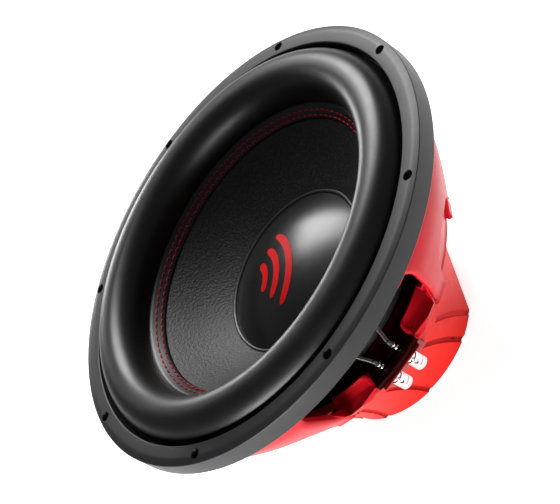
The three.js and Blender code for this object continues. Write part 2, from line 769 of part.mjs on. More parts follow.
let number = 0;
for (const side of [0, 1]) {
  const turn = side * Math.PI;
  add(`terminal_block_${side + 1}`, turned(terminalBlock(), turn), plastic);
  for (const hand of [-1, 1]) {
    number += 1;
    const pair = new THREE.Group();
    pair.rotation.z = turn;
    speaker.add(pair);
    const atPost = (name, geometry, material) => {
      const mesh = new THREE.Mesh(geometry, material);
      mesh.name = `${name}_${number}`;
      mesh.position.set((hand * POST.spacing) / 2, -POST.distance, 0);
      pair.add(mesh);
    };
    atPost('terminal_post', terminalPost(), nickel);
    atPost('terminal_button', terminalButton(), nickel);
    atPost('terminal_spring', terminalSpring(), steel);
    const tab = new THREE.Mesh(leadTab(), nickel);
    tab.name = `lead_tab_${number}`;
    tab.position.set((hand * POST.spacing) / 2, -TAB.distance, 0);
    pair.add(tab);
    const lead = new THREE.Mesh(tinselLead(hand < 0 ? LEAD_SPLAY.left : LEAD_SPLAY.right), aluminium);
    lead.name = `tinsel_lead_${number}`;
    lead.position.x = (hand * POST.spacing) / 2;
    pair.add(lead);
  }
}

export default speaker;
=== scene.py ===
"""Car subwoofer speaker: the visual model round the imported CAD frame.

The script works in millimetres in the frame of the CAD: the speaker's axis is +Z, the boot's rear face is
z = 0, and the first terminal pair faces -Y. Meshes are scaled to metres as they are made.
"""
import json
import math
import random

import bmesh
import bpy
from mathutils import Matrix, Vector


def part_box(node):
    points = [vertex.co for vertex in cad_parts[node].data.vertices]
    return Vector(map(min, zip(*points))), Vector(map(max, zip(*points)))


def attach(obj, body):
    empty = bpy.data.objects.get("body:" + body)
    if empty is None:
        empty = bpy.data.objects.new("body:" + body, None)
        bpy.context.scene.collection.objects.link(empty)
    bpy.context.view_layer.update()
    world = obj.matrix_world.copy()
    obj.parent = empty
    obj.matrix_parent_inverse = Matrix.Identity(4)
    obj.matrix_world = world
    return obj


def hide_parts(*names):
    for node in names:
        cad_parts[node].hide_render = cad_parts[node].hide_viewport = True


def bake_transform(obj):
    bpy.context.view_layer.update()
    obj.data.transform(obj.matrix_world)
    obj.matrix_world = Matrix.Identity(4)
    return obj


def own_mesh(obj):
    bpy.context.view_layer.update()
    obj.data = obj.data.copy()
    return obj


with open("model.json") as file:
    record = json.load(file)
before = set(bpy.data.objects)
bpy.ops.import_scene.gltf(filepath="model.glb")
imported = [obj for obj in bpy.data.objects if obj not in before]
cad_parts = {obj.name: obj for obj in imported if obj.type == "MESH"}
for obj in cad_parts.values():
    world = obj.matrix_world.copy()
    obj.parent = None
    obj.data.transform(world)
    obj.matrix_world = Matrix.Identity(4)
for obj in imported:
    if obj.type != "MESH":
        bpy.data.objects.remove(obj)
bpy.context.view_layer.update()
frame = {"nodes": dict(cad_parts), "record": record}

MM = 0.001
TURN = 2 * math.pi

# ---------------------------------------------------------------- driving dimensions, millimetres

FACE_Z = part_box("gasket_ring")[1].z / MM
RIM_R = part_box("basket")[1].y / MM
BOLT_CIRCLE_R = 185
BOLT_HOLE_R = 4
BOLT_COUNT = 8
BOLT_CLOCK = math.radians(42.5)

GASKET = {
    "inner": 176, "outer": 192.4, "bottom": 170.4, "slope_from": 187, "edge_z": 184.2, "rebate_r": 180.6,
    "rebate_z": 172.7, "skirt_inner": 191.4, "skirt_bottom": 168.4,
}
FLANGE = {"front": 170, "rear": 166.8, "inner": 158}
ROLL = {"middle": 152.6, "half": 21, "base": 168, "height": 30, "power": 2.4, "wall": 2}
LIP = {"outer_r": 131, "outer_z": 168, "inner_r": 120.4, "inner_z": 160, "wall": 1.8}
STITCH = {"rows": (125.4, 121.9), "count": 109, "length": 4.9, "radius": 0.6}
CONE = {"neck_r": 33.3, "neck_z": 104, "cap_r": 70.3, "cap_z": 123.4, "edge_r": 129.4, "wall": 1.6}
CAP = {"seat_r": 69.6, "seat_z": 124.6, "sphere_r": 140, "wall": 1.3}
SPIDER = {
    "outer": 97, "wall": 0.8, "amplitude": 2, "waves": 4, "from": 36.1, "to": 79.5, "wedges": 8,
    "bends": (39, 76),
}
COIL = {"bottom": 42.4, "top": 76.4, "layer": 0.7, "inner": 33.05, "outer": 34.0, "former": (32.3, 32.8)}
SPACER = {"inner": 88.5, "outer": 97, "bottom": 92.1, "top": 97.7}
MAGNET = {"inner": 39, "outer": 67, "height": 20, "rear": 13.8, "front": 34.1}
MOTOR_FLANGE = {"bottom": 64.7, "top": 70, "inner": 36.5}
CUP = {"inner": 82.5, "outer": 88.4}
LANDING_Z = 90.7
SCREEN = {"radius": 13.5, "bottom": 4.2, "top": 5, "hole": 0.95, "pitch": 2.9, "rings": 4}
BOWL = [(131.5, 79), (135, 86), (144.5, 99), (152.5, 110.5), (161, 123.5), (170, 139), (175, 153), (176, 164)]
LEG_WALL = (6.9, 4)
SHELF = {"outer": 129, "bottom": 83, "top": 88}
PAD = {"inner": 114.5, "rim": 117.5, "outer": 133, "top": 94, "low": 85, "from": 10.5, "to": 29}
BAY = {"inner": 126, "outer": 133, "half": 11}
WINDOW = {"top": 161.5, "half_top": 71, "half_low": 61, "low": 100, "half_foot": 48, "foot": 70, "corner": 20}
WINDOW_EDGE = 6.5
WINDOW_NEAR = -109                       # how far in the gaps above and below the shelf reach
CUTTER_FAR = -215                        # cutters for the bowl start outside it
EDGE_LEAD_IN = math.radians(20)          # a rounded edge starts at this slope to the skin
EDGE_CLEAR = 1.4                         # and its cutter stands this far out of the skin
FOOT_SLOPE = (WINDOW["half_low"] - WINDOW["half_foot"]) / (WINDOW["low"] + 4 - WINDOW["foot"])
POCKET = {"half": 29, "bottom": 70, "spring": 101, "top": 118.5, "depth": 5.5, "edge": 1.4}
TERMINAL = {"distance": 128.6, "spacing": 18.8}
BLOCK = {
    "back": 108, "foot": 112.6, "front": 121.8, "edge": 134.8, "bottom": 60, "lip": 81.7, "top": 82.7,
    "half": 22,
}
POST = {"radius": 5.1, "top": 81.4, "end": 70.2, "bore": 4, "seat": 74.9}
BUTTON = {"radius": 6, "inner": 5.45, "front": 78.1, "end": 65.3, "seat": 66.7}
SPRING = {"radius": 2.9, "wire": 0.35, "turns": 3, "bottom": 67.3, "rise": 6.95}
POST_HOLE_Z = 78.2
BUTTON_HOLE_Z = 75.2
TAB_DISTANCE = 122.6
LEAD_ROUTE = [
    (60.4, 114.2), (65, 110.6), (76, 107.6), (88, 105.6), (98, 103.8), (106, 101.9), (113, 100.4),
    (118.2, 100), (121.4, 99.2), (122.6, 97.6), (122.6, 95.8),
]
LEAD_SPLAY = {-1: -0.4, 1: 0.1}
BOOT = {"top": 82.7, "rim_r": 82.5, "flare": 44, "power": 1.45, "wall": 3.2, "top_wall": 5, "vent_r": 30}
BOOT_STEP = 1.2
BOOT_STEP_END = 72
BOOT_GROOVE = {"radius": 2.6, "end": 56}
# ridges of one half of the boot: degrees at the rear rim, degrees at the front edge, flatness of the panel
BOOT_RIDGES = [(-65.5, -29, 0), (-45, -23.7, 0), (-10.9, -17, 0), (24.3, 2, 0), (41.1, 12, 1), (100.3, 80, 0)]

# ---------------------------------------------------------------- mesh helpers


def make_object(name, verts, faces):
    """Object from points in millimetres."""
    mesh = bpy.data.meshes.new(name)
    mesh.from_pydata([(x * MM, y * MM, z * MM) for x, y, z in verts], [], faces)
    obj = bpy.data.objects.new(name, mesh)
    bpy.context.scene.collection.objects.link(obj)
    return cleaned(obj)


def cleaned(obj):
    """Shares the vertices that coincide, drops faces of no size, and turns the faces out."""
    bm = bmesh.new()
    bm.from_mesh(obj.data)
    bmesh.ops.remove_doubles(bm, verts=bm.verts, dist=1e-7)
    bmesh.ops.dissolve_degenerate(bm, dist=1e-8, edges=bm.edges)
    bmesh.ops.recalc_face_normals(bm, faces=bm.faces)
    bm.to_mesh(obj.data)
    bm.free()
    return obj


def smooth(obj, degrees=32):
    """Smooth shading, with edges over the angle left sharp, and faces pointing out."""
    limit = math.radians(degrees)
    cleaned(obj)
    bm = bmesh.new()
    bm.from_mesh(obj.data)
    for face in bm.faces:
        face.smooth = True
    for edge in bm.edges:
        edge.smooth = len(edge.link_faces) == 2 and edge.calc_face_angle() < limit
    bm.to_mesh(obj.data)
    bm.free()
    return obj


def bake(obj):
    """Applies the object's modifiers to its mesh."""
    graph = bpy.context.evaluated_depsgraph_get()
    mesh = bpy.data.meshes.new_from_object(obj.evaluated_get(graph))
    obj.modifiers.clear()
    obj.data = mesh
    return obj


def combine(obj, tools, operation):
    """Joins tools to the object or cuts them from it."""
    for tool in tools:
        modifier = obj.modifiers.new("combine", "BOOLEAN")
        modifier.operation = operation
        modifier.solver = "MANIFOLD"
        modifier.object = tool
    bake(obj)
    for tool in tools:
        bpy.data.objects.remove(tool)
    return obj


def cut(obj, *tools):
    return combine(obj, tools, "DIFFERENCE")


def join(obj, *tools):
    return combine(obj, tools, "UNION")


def turned(obj, angle):
    obj.data.transform(Matrix.Rotation(angle, 4, "Z"))
    return obj


def shifted(obj, x=0, y=0, z=0):
    obj.data.transform(Matrix.Translation((x * MM, y * MM, z * MM)))
    return obj


def grid_faces(rows, columns, close_rows, close_columns):
    faces = []
    for i in range(rows if close_rows else rows - 1):
        for j in range(columns if close_columns else columns - 1):
            a = i * columns + j
            b = i * columns + (j + 1) % columns
            c = (i + 1) % rows * columns + (j + 1) % columns
            d = (i + 1) % rows * columns + j
            faces.append((a, b, c, d))
    return faces


def lathe(name, outline, steps=192, start=0.0, sweep=TURN):
    """Solid of revolution of a closed outline of (radius, z). Points on the axis are shared by all steps."""
    whole = sweep >= TURN
    columns = steps if whole else steps + 1
    verts = []
    rings = []
    for radius, z in outline:
        first = len(verts)
        if radius < 1e-6:
            verts.append((0, 0, z))
            rings.append([first] * columns)
            continue
        for j in range(columns):
            angle = start + sweep * j / steps
            verts.append((radius * math.cos(angle), radius * math.sin(angle), z))
        rings.append([first + j for j in range(columns)])
    faces = []
    for i, ring in enumerate(rings):
        upper = rings[(i + 1) % len(rings)]
        for j in range(steps):
            k = (j + 1) % columns
            corners = [ring[j], ring[k], upper[k], upper[j]]
            face = [c for n, c in enumerate(corners) if c != corners[n - 1]]
            if len(face) > 2:
                faces.append(face)
    if not whole:
        faces.append([ring[0] for ring in rings])
        faces.append([ring[-1] for ring in reversed(rings)])
    return make_object(name, verts, faces)


def loft(name, rings, close=True):
    """Body through rings of points; open bodies are capped by their first and last ring."""
    count = len(rings[0])
    verts = [p for ring in rings for p in ring]
    faces = grid_faces(len(rings), count, close, True)
    if not close:
        faces.append(list(range(count)))
        faces.append(list(range(len(verts) - 1, len(verts) - count - 1, -1)))
    return make_object(name, verts, faces)


def rounded(corners, steps=5):
    """Outline through corners (x, y, radius), each turned on an arc of its radius."""
    points = []
    for i, (x, y, radius) in enumerate(corners):
        here = Vector((x, y))
        back = Vector(corners[i - 1][:2]) - here
        on = Vector(corners[(i + 1) % len(corners)][:2]) - here
        half = back.angle(on) / 2
        if radius <= 0 or half > math.radians(89):
            points.append((x, y))
            continue
        reach = min(radius / math.tan(half), 0.49 * back.length, 0.49 * on.length)
        radius = reach * math.tan(half)
        middle = here + (back.normalized() + on.normalized()).normalized() * (radius / math.sin(half))
        first = here + back.normalized() * reach - middle
        last = here + on.normalized() * reach - middle
        from_angle = math.atan2(first.y, first.x)
        sweep = (math.atan2(last.y, last.x) - from_angle + math.pi) % TURN - math.pi
        for k in range(steps + 1):
            angle = from_angle + sweep * k / steps
            points.append((middle.x + radius * math.cos(angle), middle.y + radius * math.sin(angle)))
    return points


def curve_through(points, per_span=6):
    """Points on a Catmull-Rom curve through the given ones."""
    ends = [tuple(2 * a - b for a, b in zip(points[0], points[1]))]
    ends.append(tuple(2 * a - b for a, b in zip(points[-1], points[-2])))
    padded = [ends[0], *points, ends[1]]
    result = []
    for i in range(1, len(padded) - 2):
        p0, p1, p2, p3 = padded[i - 1:i + 3]
        for k in range(per_span):
            t = k / per_span
            result.append(tuple(
                0.5 * (2 * b + (c - a) * t + (2 * a - 5 * b + 4 * c - d) * t * t
                       + (3 * b - a - 3 * c + d) * t ** 3)
                for a, b, c, d in zip(p0, p1, p2, p3)))
    result.append(tuple(points[-1]))
    return result


def tangent_at(points, i):
    return (points[min(i + 1, len(points) - 1)] - points[max(i - 1, 0)]).normalized()


def tube_along(name, path, radius, sides=12, shape=None):
    """Closed tube along a path. shape(part, angle) scales the radius at a place along and round the tube."""
    points = [Vector(p) for p in path]
    side = None
    rings = []
    for i, point in enumerate(points):
        tangent = tangent_at(points, i)
        if side is None:
            side = tangent.orthogonal().normalized()
        side = (side - tangent * side.dot(tangent)).normalized()
        other = tangent.cross(side)
        ring = []
        for j in range(sides):
            angle = TURN * j / sides
            scale = shape(i / (len(points) - 1), angle) if shape else 1
            ring.append(tuple(point + (side * math.cos(angle) + other * math.sin(angle)) * radius * scale))
        rings.append(ring)
    return loft(name, rings, close=False)


def merged(name, objects):
    """One object from several, with their meshes side by side."""
    bm = bmesh.new()
    for obj in objects:
        bm.from_mesh(obj.data)
        bpy.data.objects.remove(obj)
    mesh = bpy.data.meshes.new(name)
    bm.to_mesh(mesh)
    bm.free()
    whole = bpy.data.objects.new(name, mesh)
    bpy.context.scene.collection.objects.link(whole)
    return whole


# ---------------------------------------------------------------- materials


class Finish:
    """A principled material with procedural detail in object coordinates (metres)."""

    def __init__(self, name, color, roughness, metallic=0.0, **sockets):
        self.material = bpy.data.materials.new(name)
        self.material.use_nodes = True
        self.nodes = self.material.node_tree.nodes
        self.links = self.material.node_tree.links
        self.color = color
        self.shader = next(n for n in self.nodes if n.type == "BSDF_PRINCIPLED")
        self.feed(self.shader, {"Base Color": (*color, 1), "Roughness": roughness, "Metallic": metallic})
        self.feed(self.shader, {socket.replace("_", " "): value for socket, value in sockets.items()})
        self.place = self.add("TexCoord").outputs["Object"]
        self.normal = None

    def feed(self, node, inputs):
        """Links each input to the socket given for it, or sets it to the value given."""
        for key, value in inputs.items():
            if isinstance(value, bpy.types.NodeSocket):
                self.links.new(value, node.inputs[key])
            else:
                node.inputs[key].default_value = value

    def add(self, kind, inputs=None, **settings):
        """A new node with its settings and its inputs."""
        node = self.nodes.new("ShaderNode" + kind)
        for key, value in settings.items():
            setattr(node, key, value)
        self.feed(node, inputs or {})
        return node

    def noise(self, scale, detail=3.0, stretch=None):
        place = self.place
        if stretch:
            place = self.add("Mapping", {"Vector": place, "Scale": stretch}).outputs["Vector"]
        return self.add("TexNoise", {"Vector": place, "Scale": scale, "Detail": detail}).outputs["Fac"]

    def cells(self, scale):
        return self.add("TexVoronoi", {"Vector": self.place, "Scale": scale}).outputs["Distance"]

    def waves(self, scale, direction="Z", rings=False):
        settings = {"wave_type": "RINGS" if rings else "BANDS"}
        settings["rings_direction" if rings else "bands_direction"] = direction
        return self.add("TexWave", {"Vector": self.place, "Scale": scale}, **settings).outputs["Fac"]

    def maths(self, operation, first, second):
        return self.add("Math", {0: first, 1: second}, operation=operation).outputs[0]

    def product(self, first, second):
        return self.maths("MULTIPLY", first, second)

    def vector(self, operation, result, *inputs):
        """A result of vector maths, which is its "Vector" or its "Value"."""
        return self.add("VectorMath", dict(enumerate(inputs)), operation=operation).outputs[result]

    def range(self, value, low, high):
        """Spreads 0 to 1 over low to high."""
        return self.add("MapRange", {"Value": value, "To Min": low, "To Max": high}).outputs["Result"]

    def ramp(self, value, zero_at, one_at):
        """0 at one value and 1 at another, and clamped outside them."""
        inputs = {"Value": value, "From Min": zero_at, "From Max": one_at}
        return self.add("MapRange", inputs).outputs["Result"]

    def bump(self, height, strength, distance_mm):
        inputs = {"Height": height, "Strength": strength, "Distance": distance_mm * MM}
        if self.normal:
            inputs["Normal"] = self.normal
        self.normal = self.add("Bump", inputs).outputs["Normal"]
        self.feed(self.shader, {"Normal": self.normal})

    def tint(self, value, dark, light, low=0.3, high=0.7):
        """Runs the base colour from dark to light as the value goes from low to high."""
        node = self.add("ValToRGB", {"Fac": value})
        for stop, position, color in zip(node.color_ramp.elements, (low, high), (dark, light)):
            stop.position = position
            stop.color = (*color, 1)
        self.feed(self.shader, {"Base Color": node.outputs["Color"]})

    def mottle(self, scale, detail, dark, light):
        """Slow variation of the base colour between two shares of it."""
        self.tint(self.noise(scale, detail), scaled(self.color, dark), scaled(self.color, light))

    def polish(self, value, low, high):
        self.feed(self.shader, {"Roughness": self.range(value, low, high)})

    def inside(self):
        """Mask of painted shade inside the basket: 1 on faces that look towards the axis, low down in the
        middle, and on the shelf by the terminals.
        """
        normal = self.add("NewGeometry").outputs["True Normal"]
        flat = self.vector("MULTIPLY", "Vector", self.place, (1, 1, 0))
        outward = self.vector("NORMALIZE", "Vector", flat)
        inner_side = self.ramp(self.vector("DOT_PRODUCT", "Value", outward, normal), -0.6, -0.75)
        radius = self.vector("LENGTH", "Value", flat)
        height = self.add("SeparateXYZ", {"Vector": self.place}).outputs["Z"]
        middle = self.ramp(radius, (PAD["inner"] - 1) * MM, (PAD["inner"] - 2) * MM)
        low = self.ramp(height, (PAD["top"] - 0.5) * MM, (PAD["top"] - 1.5) * MM)
        on_shelf = self.ramp(height, (SHELF["top"] + 1) * MM, (SHELF["top"] + 0.4) * MM)
        sides = self.add("SeparateXYZ", {"Vector": self.vector("ABSOLUTE", "Vector", outward)}).outputs
        bay_from = math.cos(math.radians(PAD["from"]))
        in_bay = self.ramp(self.maths("MAXIMUM", sides["X"], sides["Y"]), bay_from - 0.001, bay_from)
        low_down = self.maths("MAXIMUM", inner_side, self.product(middle, low))
        return self.maths("MAXIMUM", low_down, self.product(in_bay, on_shelf))

    def crevice_shade_mask(self, distance_mm):
        """Mask of painted shade from ambient occlusion: 1 deep in a groove or corner of about that size, 0 on
        open surfaces.
        """
        node = self.add("AmbientOcclusion", {"Distance": distance_mm * MM}, samples=8)
        return self.ramp(node.outputs["AO"], 0.8, 0.45)

    def paint_shade(self, mask, share):
        """Paints shade: multiplies the base colour by the share where the mask is 1, and takes the gloss away
        there.
        """
        base = self.shader.inputs["Base Color"].links[0].from_socket
        coat = self.shader.inputs["Coat Weight"].default_value
        gloss = self.shader.inputs["Specular IOR Level"].default_value
        mix = self.add("VectorMath", {0: base, "Scale": self.range(mask, 1, share)}, operation="SCALE")
        self.feed(self.shader, {
            "Base Color": mix.outputs["Vector"], "Coat Weight": self.range(mask, coat, 0),
            "Specular IOR Level": self.range(mask, gloss, 0.05),
        })


def scaled(color, factor):
    return tuple(c * factor for c in color)


def gasket_finish():
    rubber = Finish("gasket_rubber_look", (0.014, 0.014, 0.0155), 0.45, Specular_IOR_Level=0.5)
    grain = rubber.noise(900, 4)
    rubber.mottle(60, 3, 0.85, 1.15)
    rubber.polish(rubber.noise(140, 3), 0.4, 0.5)
    rubber.bump(grain, 0.25, 0.12)
    return rubber.material


def surround_finish():
    rubber = Finish("surround_rubber_look", (0.005, 0.005, 0.0056), 0.36, Specular_IOR_Level=0.5)
    rubber.mottle(45, 3, 0.8, 1.2)
    rubber.polish(rubber.noise(80, 4), 0.32, 0.42)
    rubber.bump(rubber.noise(1300, 3), 0.12, 0.08)
    rubber.bump(rubber.noise(25, 2), 0.05, 0.4)
    return rubber.material


def paper_finish():
    paper = Finish("cone_paper_look", (0.012, 0.012, 0.013), 0.5, Specular_IOR_Level=0.5)
    fibre = paper.noise(480, 6)
    flecks = paper.cells(800)
    paper.tint(fibre, (0.005, 0.005, 0.0055), (0.035, 0.035, 0.036), 0.42, 0.72)
    paper.polish(fibre, 0.42, 0.6)
    paper.bump(fibre, 1.0, 0.6)
    paper.bump(flecks, 0.5, 0.3)
    return paper.material


def cap_finish():
    cap = Finish("cap_satin_look", (0.012, 0.012, 0.013), 0.3, Specular_IOR_Level=0.55)
    cap.mottle(30, 2, 0.85, 1.15)
    cap.polish(cap.noise(120, 3), 0.27, 0.34)
    cap.bump(cap.noise(1500, 2), 0.05, 0.05)
    return cap.material


def adhesive_finish():
    bead = Finish("adhesive_look", (0.03, 0.03, 0.032), 0.35)
    bead.polish(bead.noise(200, 3), 0.25, 0.5)
    bead.bump(bead.noise(160, 3), 0.4, 0.5)
    return bead.material


def paint_finish():
    gloss = {"Coat_Weight": 0.05, "Coat_Roughness": 0.1, "Specular_IOR_Level": 0.12}
    paint = Finish("basket_red_look", (0.5, 0.006, 0.013), 0.3, **gloss)
    paint.mottle(18, 3, 0.9, 1.08)
    paint.polish(paint.noise(90, 3), 0.26, 0.36)
    paint.bump(paint.noise(260, 2), 0.06, 0.25)
    # painted shade: the bowl's inner faces, its low middle and the shelf by the terminals are darkened almost
    # to black, where shade falls inside the basket
    paint.paint_shade(paint.inside(), 0.03)
    return paint.material


def boot_finish():
    rubber = Finish("boot_rubber_look", (0.62, 0.012, 0.007), 0.45, Specular_IOR_Level=0.08)
    rubber.mottle(25, 3, 0.9, 1.06)
    rubber.polish(rubber.noise(110, 3), 0.38, 0.52)
    rubber.bump(rubber.noise(1100, 3), 0.15, 0.12)
    # painted shade: darker red in the boot's grooves and corners, from ambient occlusion
    rubber.paint_shade(rubber.crevice_shade_mask(5), 0.3)
    return rubber.material


def block_finish():
    plastic = Finish("terminal_plastic_look", (0.3, 0.009, 0.008), 0.4)
    plastic.mottle(70, 3, 0.88, 1)
    plastic.polish(plastic.noise(160, 2), 0.34, 0.46)
    plastic.bump(plastic.noise(1600, 2), 0.15, 0.08)
    return plastic.material


def chrome_finish():
    chrome = Finish("terminal_nickel_look", (0.88, 0.88, 0.89), 0.12, 1.0)
    chrome.polish(chrome.noise(500, 3, (1, 1, 4)), 0.07, 0.2)
    chrome.bump(chrome.waves(900, "Z"), 0.03, 0.05)
    return chrome.material


def tinsel_finish():
    braid = Finish("tinsel_braid_look", (0.85, 0.83, 0.8), 0.4, 0.6)
    weave = braid.product(braid.waves(330, "DIAGONAL"), braid.waves(290, "Z"))
    braid.tint(weave, (0.6, 0.58, 0.56), (0.95, 0.93, 0.9), 0.1, 0.6)
    braid.bump(weave, 0.5, 0.2)
    return braid.material


def thread_finish():
    thread = Finish("stitch_thread_look", (0.42, 0.01, 0.016), 0.7)
    twist = thread.waves(520, "DIAGONAL")
    thread.tint(twist, (0.45, 0.006, 0.012), (0.8, 0.018, 0.03), 0.2, 0.8)
    thread.bump(twist, 0.5, 0.2)
    return thread.material


def emblem_finish():
    print_ = Finish("emblem_red_look", (0.85, 0.005, 0.004), 0.45, Specular_IOR_Level=0.2)
    print_.mottle(200, 3, 0.92, 1)
    print_.bump(print_.noise(900, 2), 0.05, 0.05)
    return print_.material


def cloth_finish():
    cloth = Finish("spider_cloth_look", (0.02, 0.02, 0.021), 0.9)
    weave = cloth.product(cloth.waves(380, "X"), cloth.waves(380, "Y"))
    cloth.tint(weave, (0.008, 0.008, 0.009), (0.03, 0.03, 0.032), 0.05, 0.6)
    cloth.bump(weave, 0.7, 0.3)
    return cloth.material


def steel_finish(name, color, roughness):
    steel = Finish(name, color, roughness, 1.0)
    steel.mottle(60, 4, 0.85, 1.1)
    steel.polish(steel.noise(350, 3, (1, 1, 0.1)), roughness * 0.8, roughness * 1.3)
    steel.bump(steel.waves(420, "Z", rings=True), 0.06, 0.05)
    return steel.material


def ferrite_finish():
    ferrite = Finish("ferrite_look", (0.05, 0.05, 0.053), 0.7)
    ferrite.tint(ferrite.noise(90, 5), (0.035, 0.035, 0.038), (0.07, 0.07, 0.073))
    ferrite.bump(ferrite.noise(600, 4), 0.4, 0.3)
    return ferrite.material


def copper_finish():
    copper = Finish("copper_wire_look", (0.62, 0.25, 0.12), 0.28, 1.0, Coat_Weight=0.6)
    turns = copper.waves(330, "Z")
    copper.tint(turns, (0.3, 0.1, 0.05), (0.7, 0.3, 0.15), 0.1, 0.7)
    copper.bump(turns, 0.9, 0.3)
    return copper.material


def matt_black_finish(name, roughness):
    black = Finish(name, (0.02, 0.02, 0.021), roughness)
    black.tint(black.noise(120, 4), (0.014, 0.014, 0.015), (0.028, 0.028, 0.03))
    black.bump(black.noise(900, 3), 0.3, 0.12)
    return black.material


def floor_finish():
    floor = Finish("floor_look", (0.9, 0.9, 0.9), 0.8, Specular_IOR_Level=0.1, Emission_Strength=0.8)
    floor.shader.inputs["Emission Color"].default_value = (1, 1, 1, 1)
    floor.tint(floor.noise(3, 2), (0.89, 0.89, 0.89), (0.91, 0.91, 0.91))
    return floor.material


LOOKS = {
    "gasket_rubber": gasket_finish(),
    "surround_rubber": surround_finish(),
    "cone_paper": paper_finish(),
    "cap_satin": cap_finish(),
    "adhesive": adhesive_finish(),
    "former_aluminium": steel_finish("former_aluminium_look", (0.72, 0.73, 0.75), 0.3),
    "copper_wire": copper_finish(),
    "spider_cloth": cloth_finish(),
    "spacer_plastic": matt_black_finish("spacer_plastic_look", 0.6),
    "basket_red": paint_finish(),
    "motor_steel": steel_finish("motor_steel_look", (0.5, 0.5, 0.51), 0.35),
    "ferrite": ferrite_finish(),
    "screw_black": steel_finish("screw_black_look", (0.05, 0.05, 0.055), 0.35),
    "boot_rubber": boot_finish(),
    "terminal_plastic": block_finish(),
    "terminal_nickel": chrome_finish(),
    "spring_steel": steel_finish("spring_steel_look", (0.62, 0.62, 0.64), 0.22),
    "tinsel_braid": tinsel_finish(),
}
THREAD = thread_finish()
EMBLEM = emblem_finish()
SLEEVE_BLACK = matt_black_finish("sleeve_black_look", 0.45)


def dress(obj, slot_name, material=None):
    obj.data.materials.clear()
    obj.data.materials.append(material or LOOKS[slot_name])
    return obj


def settle(obj, body, slot_name, *nodes, material=None):
    """Gives a finished piece its finish and its body, and hides the CAD nodes it stands for."""
    dress(obj, slot_name, material)
    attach(obj, body)
    if nodes:
        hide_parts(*nodes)
    return obj


def bend(obj, slot_name, bodies, start, end, *nodes):
    """Gives a finished piece its finish, bakes its placement into its mesh and hides the CAD nodes it stands
    for.
    """
    dress(obj, slot_name)
    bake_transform(obj)
    if nodes:
        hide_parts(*nodes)
    return obj


# ---------------------------------------------------------------- gasket ring


def at_the_bolts(outline):
    """A round cutter of that outline at each bolt hole."""
    cutters = []
    for i in range(BOLT_COUNT):
        cutter = shifted(lathe("hole", outline, 32), x=BOLT_CIRCLE_R)
        cutters.append(turned(cutter, BOLT_CLOCK + TURN * i / BOLT_COUNT))
    return cutters


def bolt_cutters(radius, bottom, top):
    return at_the_bolts([(0, bottom), (radius, bottom), (radius, top), (0, top)])


def countersinks(radius, depth, face_z):
    return at_the_bolts([
        (0, face_z - depth), (radius, face_z - depth), (radius + 0.25, face_z - 0.3 * depth),
        (radius + depth, face_z + 0.2), (radius + depth, face_z + 2), (0, face_z + 2),
    ])


def gasket_ring():
    g = GASKET
    outline = rounded([
        (g["inner"], g["rebate_z"], 0.3), (g["rebate_r"], g["rebate_z"], 0), (g["rebate_r"], g["bottom"], 0),
        (g["skirt_inner"], g["bottom"], 0), (g["skirt_inner"], g["skirt_bottom"], 0.3),
        (g["outer"], g["skirt_bottom"], 0.4), (g["outer"], g["edge_z"], 0.9), (g["slope_from"], FACE_Z, 12),
        (g["inner"], FACE_Z, 1.3),
    ], 7)
    ring = lathe("gasket_ring_detail", outline, 256)
    cut(ring, *bolt_cutters(BOLT_HOLE_R, g["bottom"] - 3, FACE_Z + 3))
    cut(ring, *countersinks(BOLT_HOLE_R, 0.7, FACE_Z))
    smooth(ring, 40)
    settle(ring, "frame", "gasket_rubber", "gasket_ring")


# ---------------------------------------------------------------- surround with its stitched lip


def roll_point(part, half, height):
    """Point of the roll's skin: part runs from 0 at its inner foot to 1 at its outer foot."""
    x = -math.cos(part * math.pi)
    lift = (1 - abs(x) ** ROLL["power"]) ** (1 / ROLL["power"])
    return ROLL["middle"] + half * x, ROLL["base"] + height * lift


def roll_arc(first, last, inset, steps):
    points = []
    for i in range(steps + 1):
        part = first + (last - first) * i / steps
        points.append(roll_point(part, ROLL["half"] - inset, ROLL["height"] - inset))
    return points


def surround():
    wall = ROLL["wall"]
    flat = FLANGE["front"] + 0.3
    crown = (ROLL["middle"], ROLL["base"] + ROLL["height"])
    lip = LIP
    # inner half: from the lip that is stitched to the cone up to the crown
    lip_top = [(lip["inner_r"], lip["inner_z"] - lip["wall"]), (lip["inner_r"], lip["inner_z"] - 0.5)]
    lip_top += [(lip["inner_r"] + 0.4, lip["inner_z"] + 0.1)]
    hem = []
    for i in range(1, 12):
        part = i / 12
        radius = lip["inner_r"] + (lip["outer_r"] - 1.6 - lip["inner_r"]) * part
        z = lip["inner_z"] + (lip["outer_z"] - lip["inner_z"]) * part
        hem.append((radius, z + 0.25 * math.sin(part * math.pi)))
    outside = roll_arc(0.0, 0.5, 0, 26)
    inside = roll_arc(0.5, 0.0, wall, 20)
    inner = lathe("surround_inner", [
        *lip_top, *hem, (lip["outer_r"] - 1.0, lip["outer_z"] + 0.1), *outside,
        *inside, (lip["outer_r"] + 0.8, lip["outer_z"] - lip["wall"]),
    ], 256)
    smooth(inner, 50)
    bend(inner, "surround_rubber", ("moving_assembly", "frame"), (0, 0, lip["outer_z"]),
         (0, 0, 2 * crown[1] - lip["outer_z"]), "surround")
    # outer half: from the crown down to the foot that is clamped under the gasket ring
    outside = [p for p in roll_arc(0.5, 0.985, 0, 26) if p[1] > flat + wall + 0.3]
    inside = [p for p in roll_arc(0.96, 0.5, wall, 20) if p[1] > flat]
    outer = lathe("surround_outer", [
        *outside, (GASKET["inner"] - 0.25, flat + wall), (GASKET["rebate_r"] - 0.3, flat + wall),
        (GASKET["rebate_r"] - 0.3, flat), (ROLL["middle"] + ROLL["half"] - wall - 0.3, flat), *inside,
    ], 256)
    smooth(outer, 50)
    bend(outer, "surround_rubber", ("frame", "moving_assembly"), (0, 0, flat + wall),
         (0, 0, 2 * crown[1] - flat - wall))


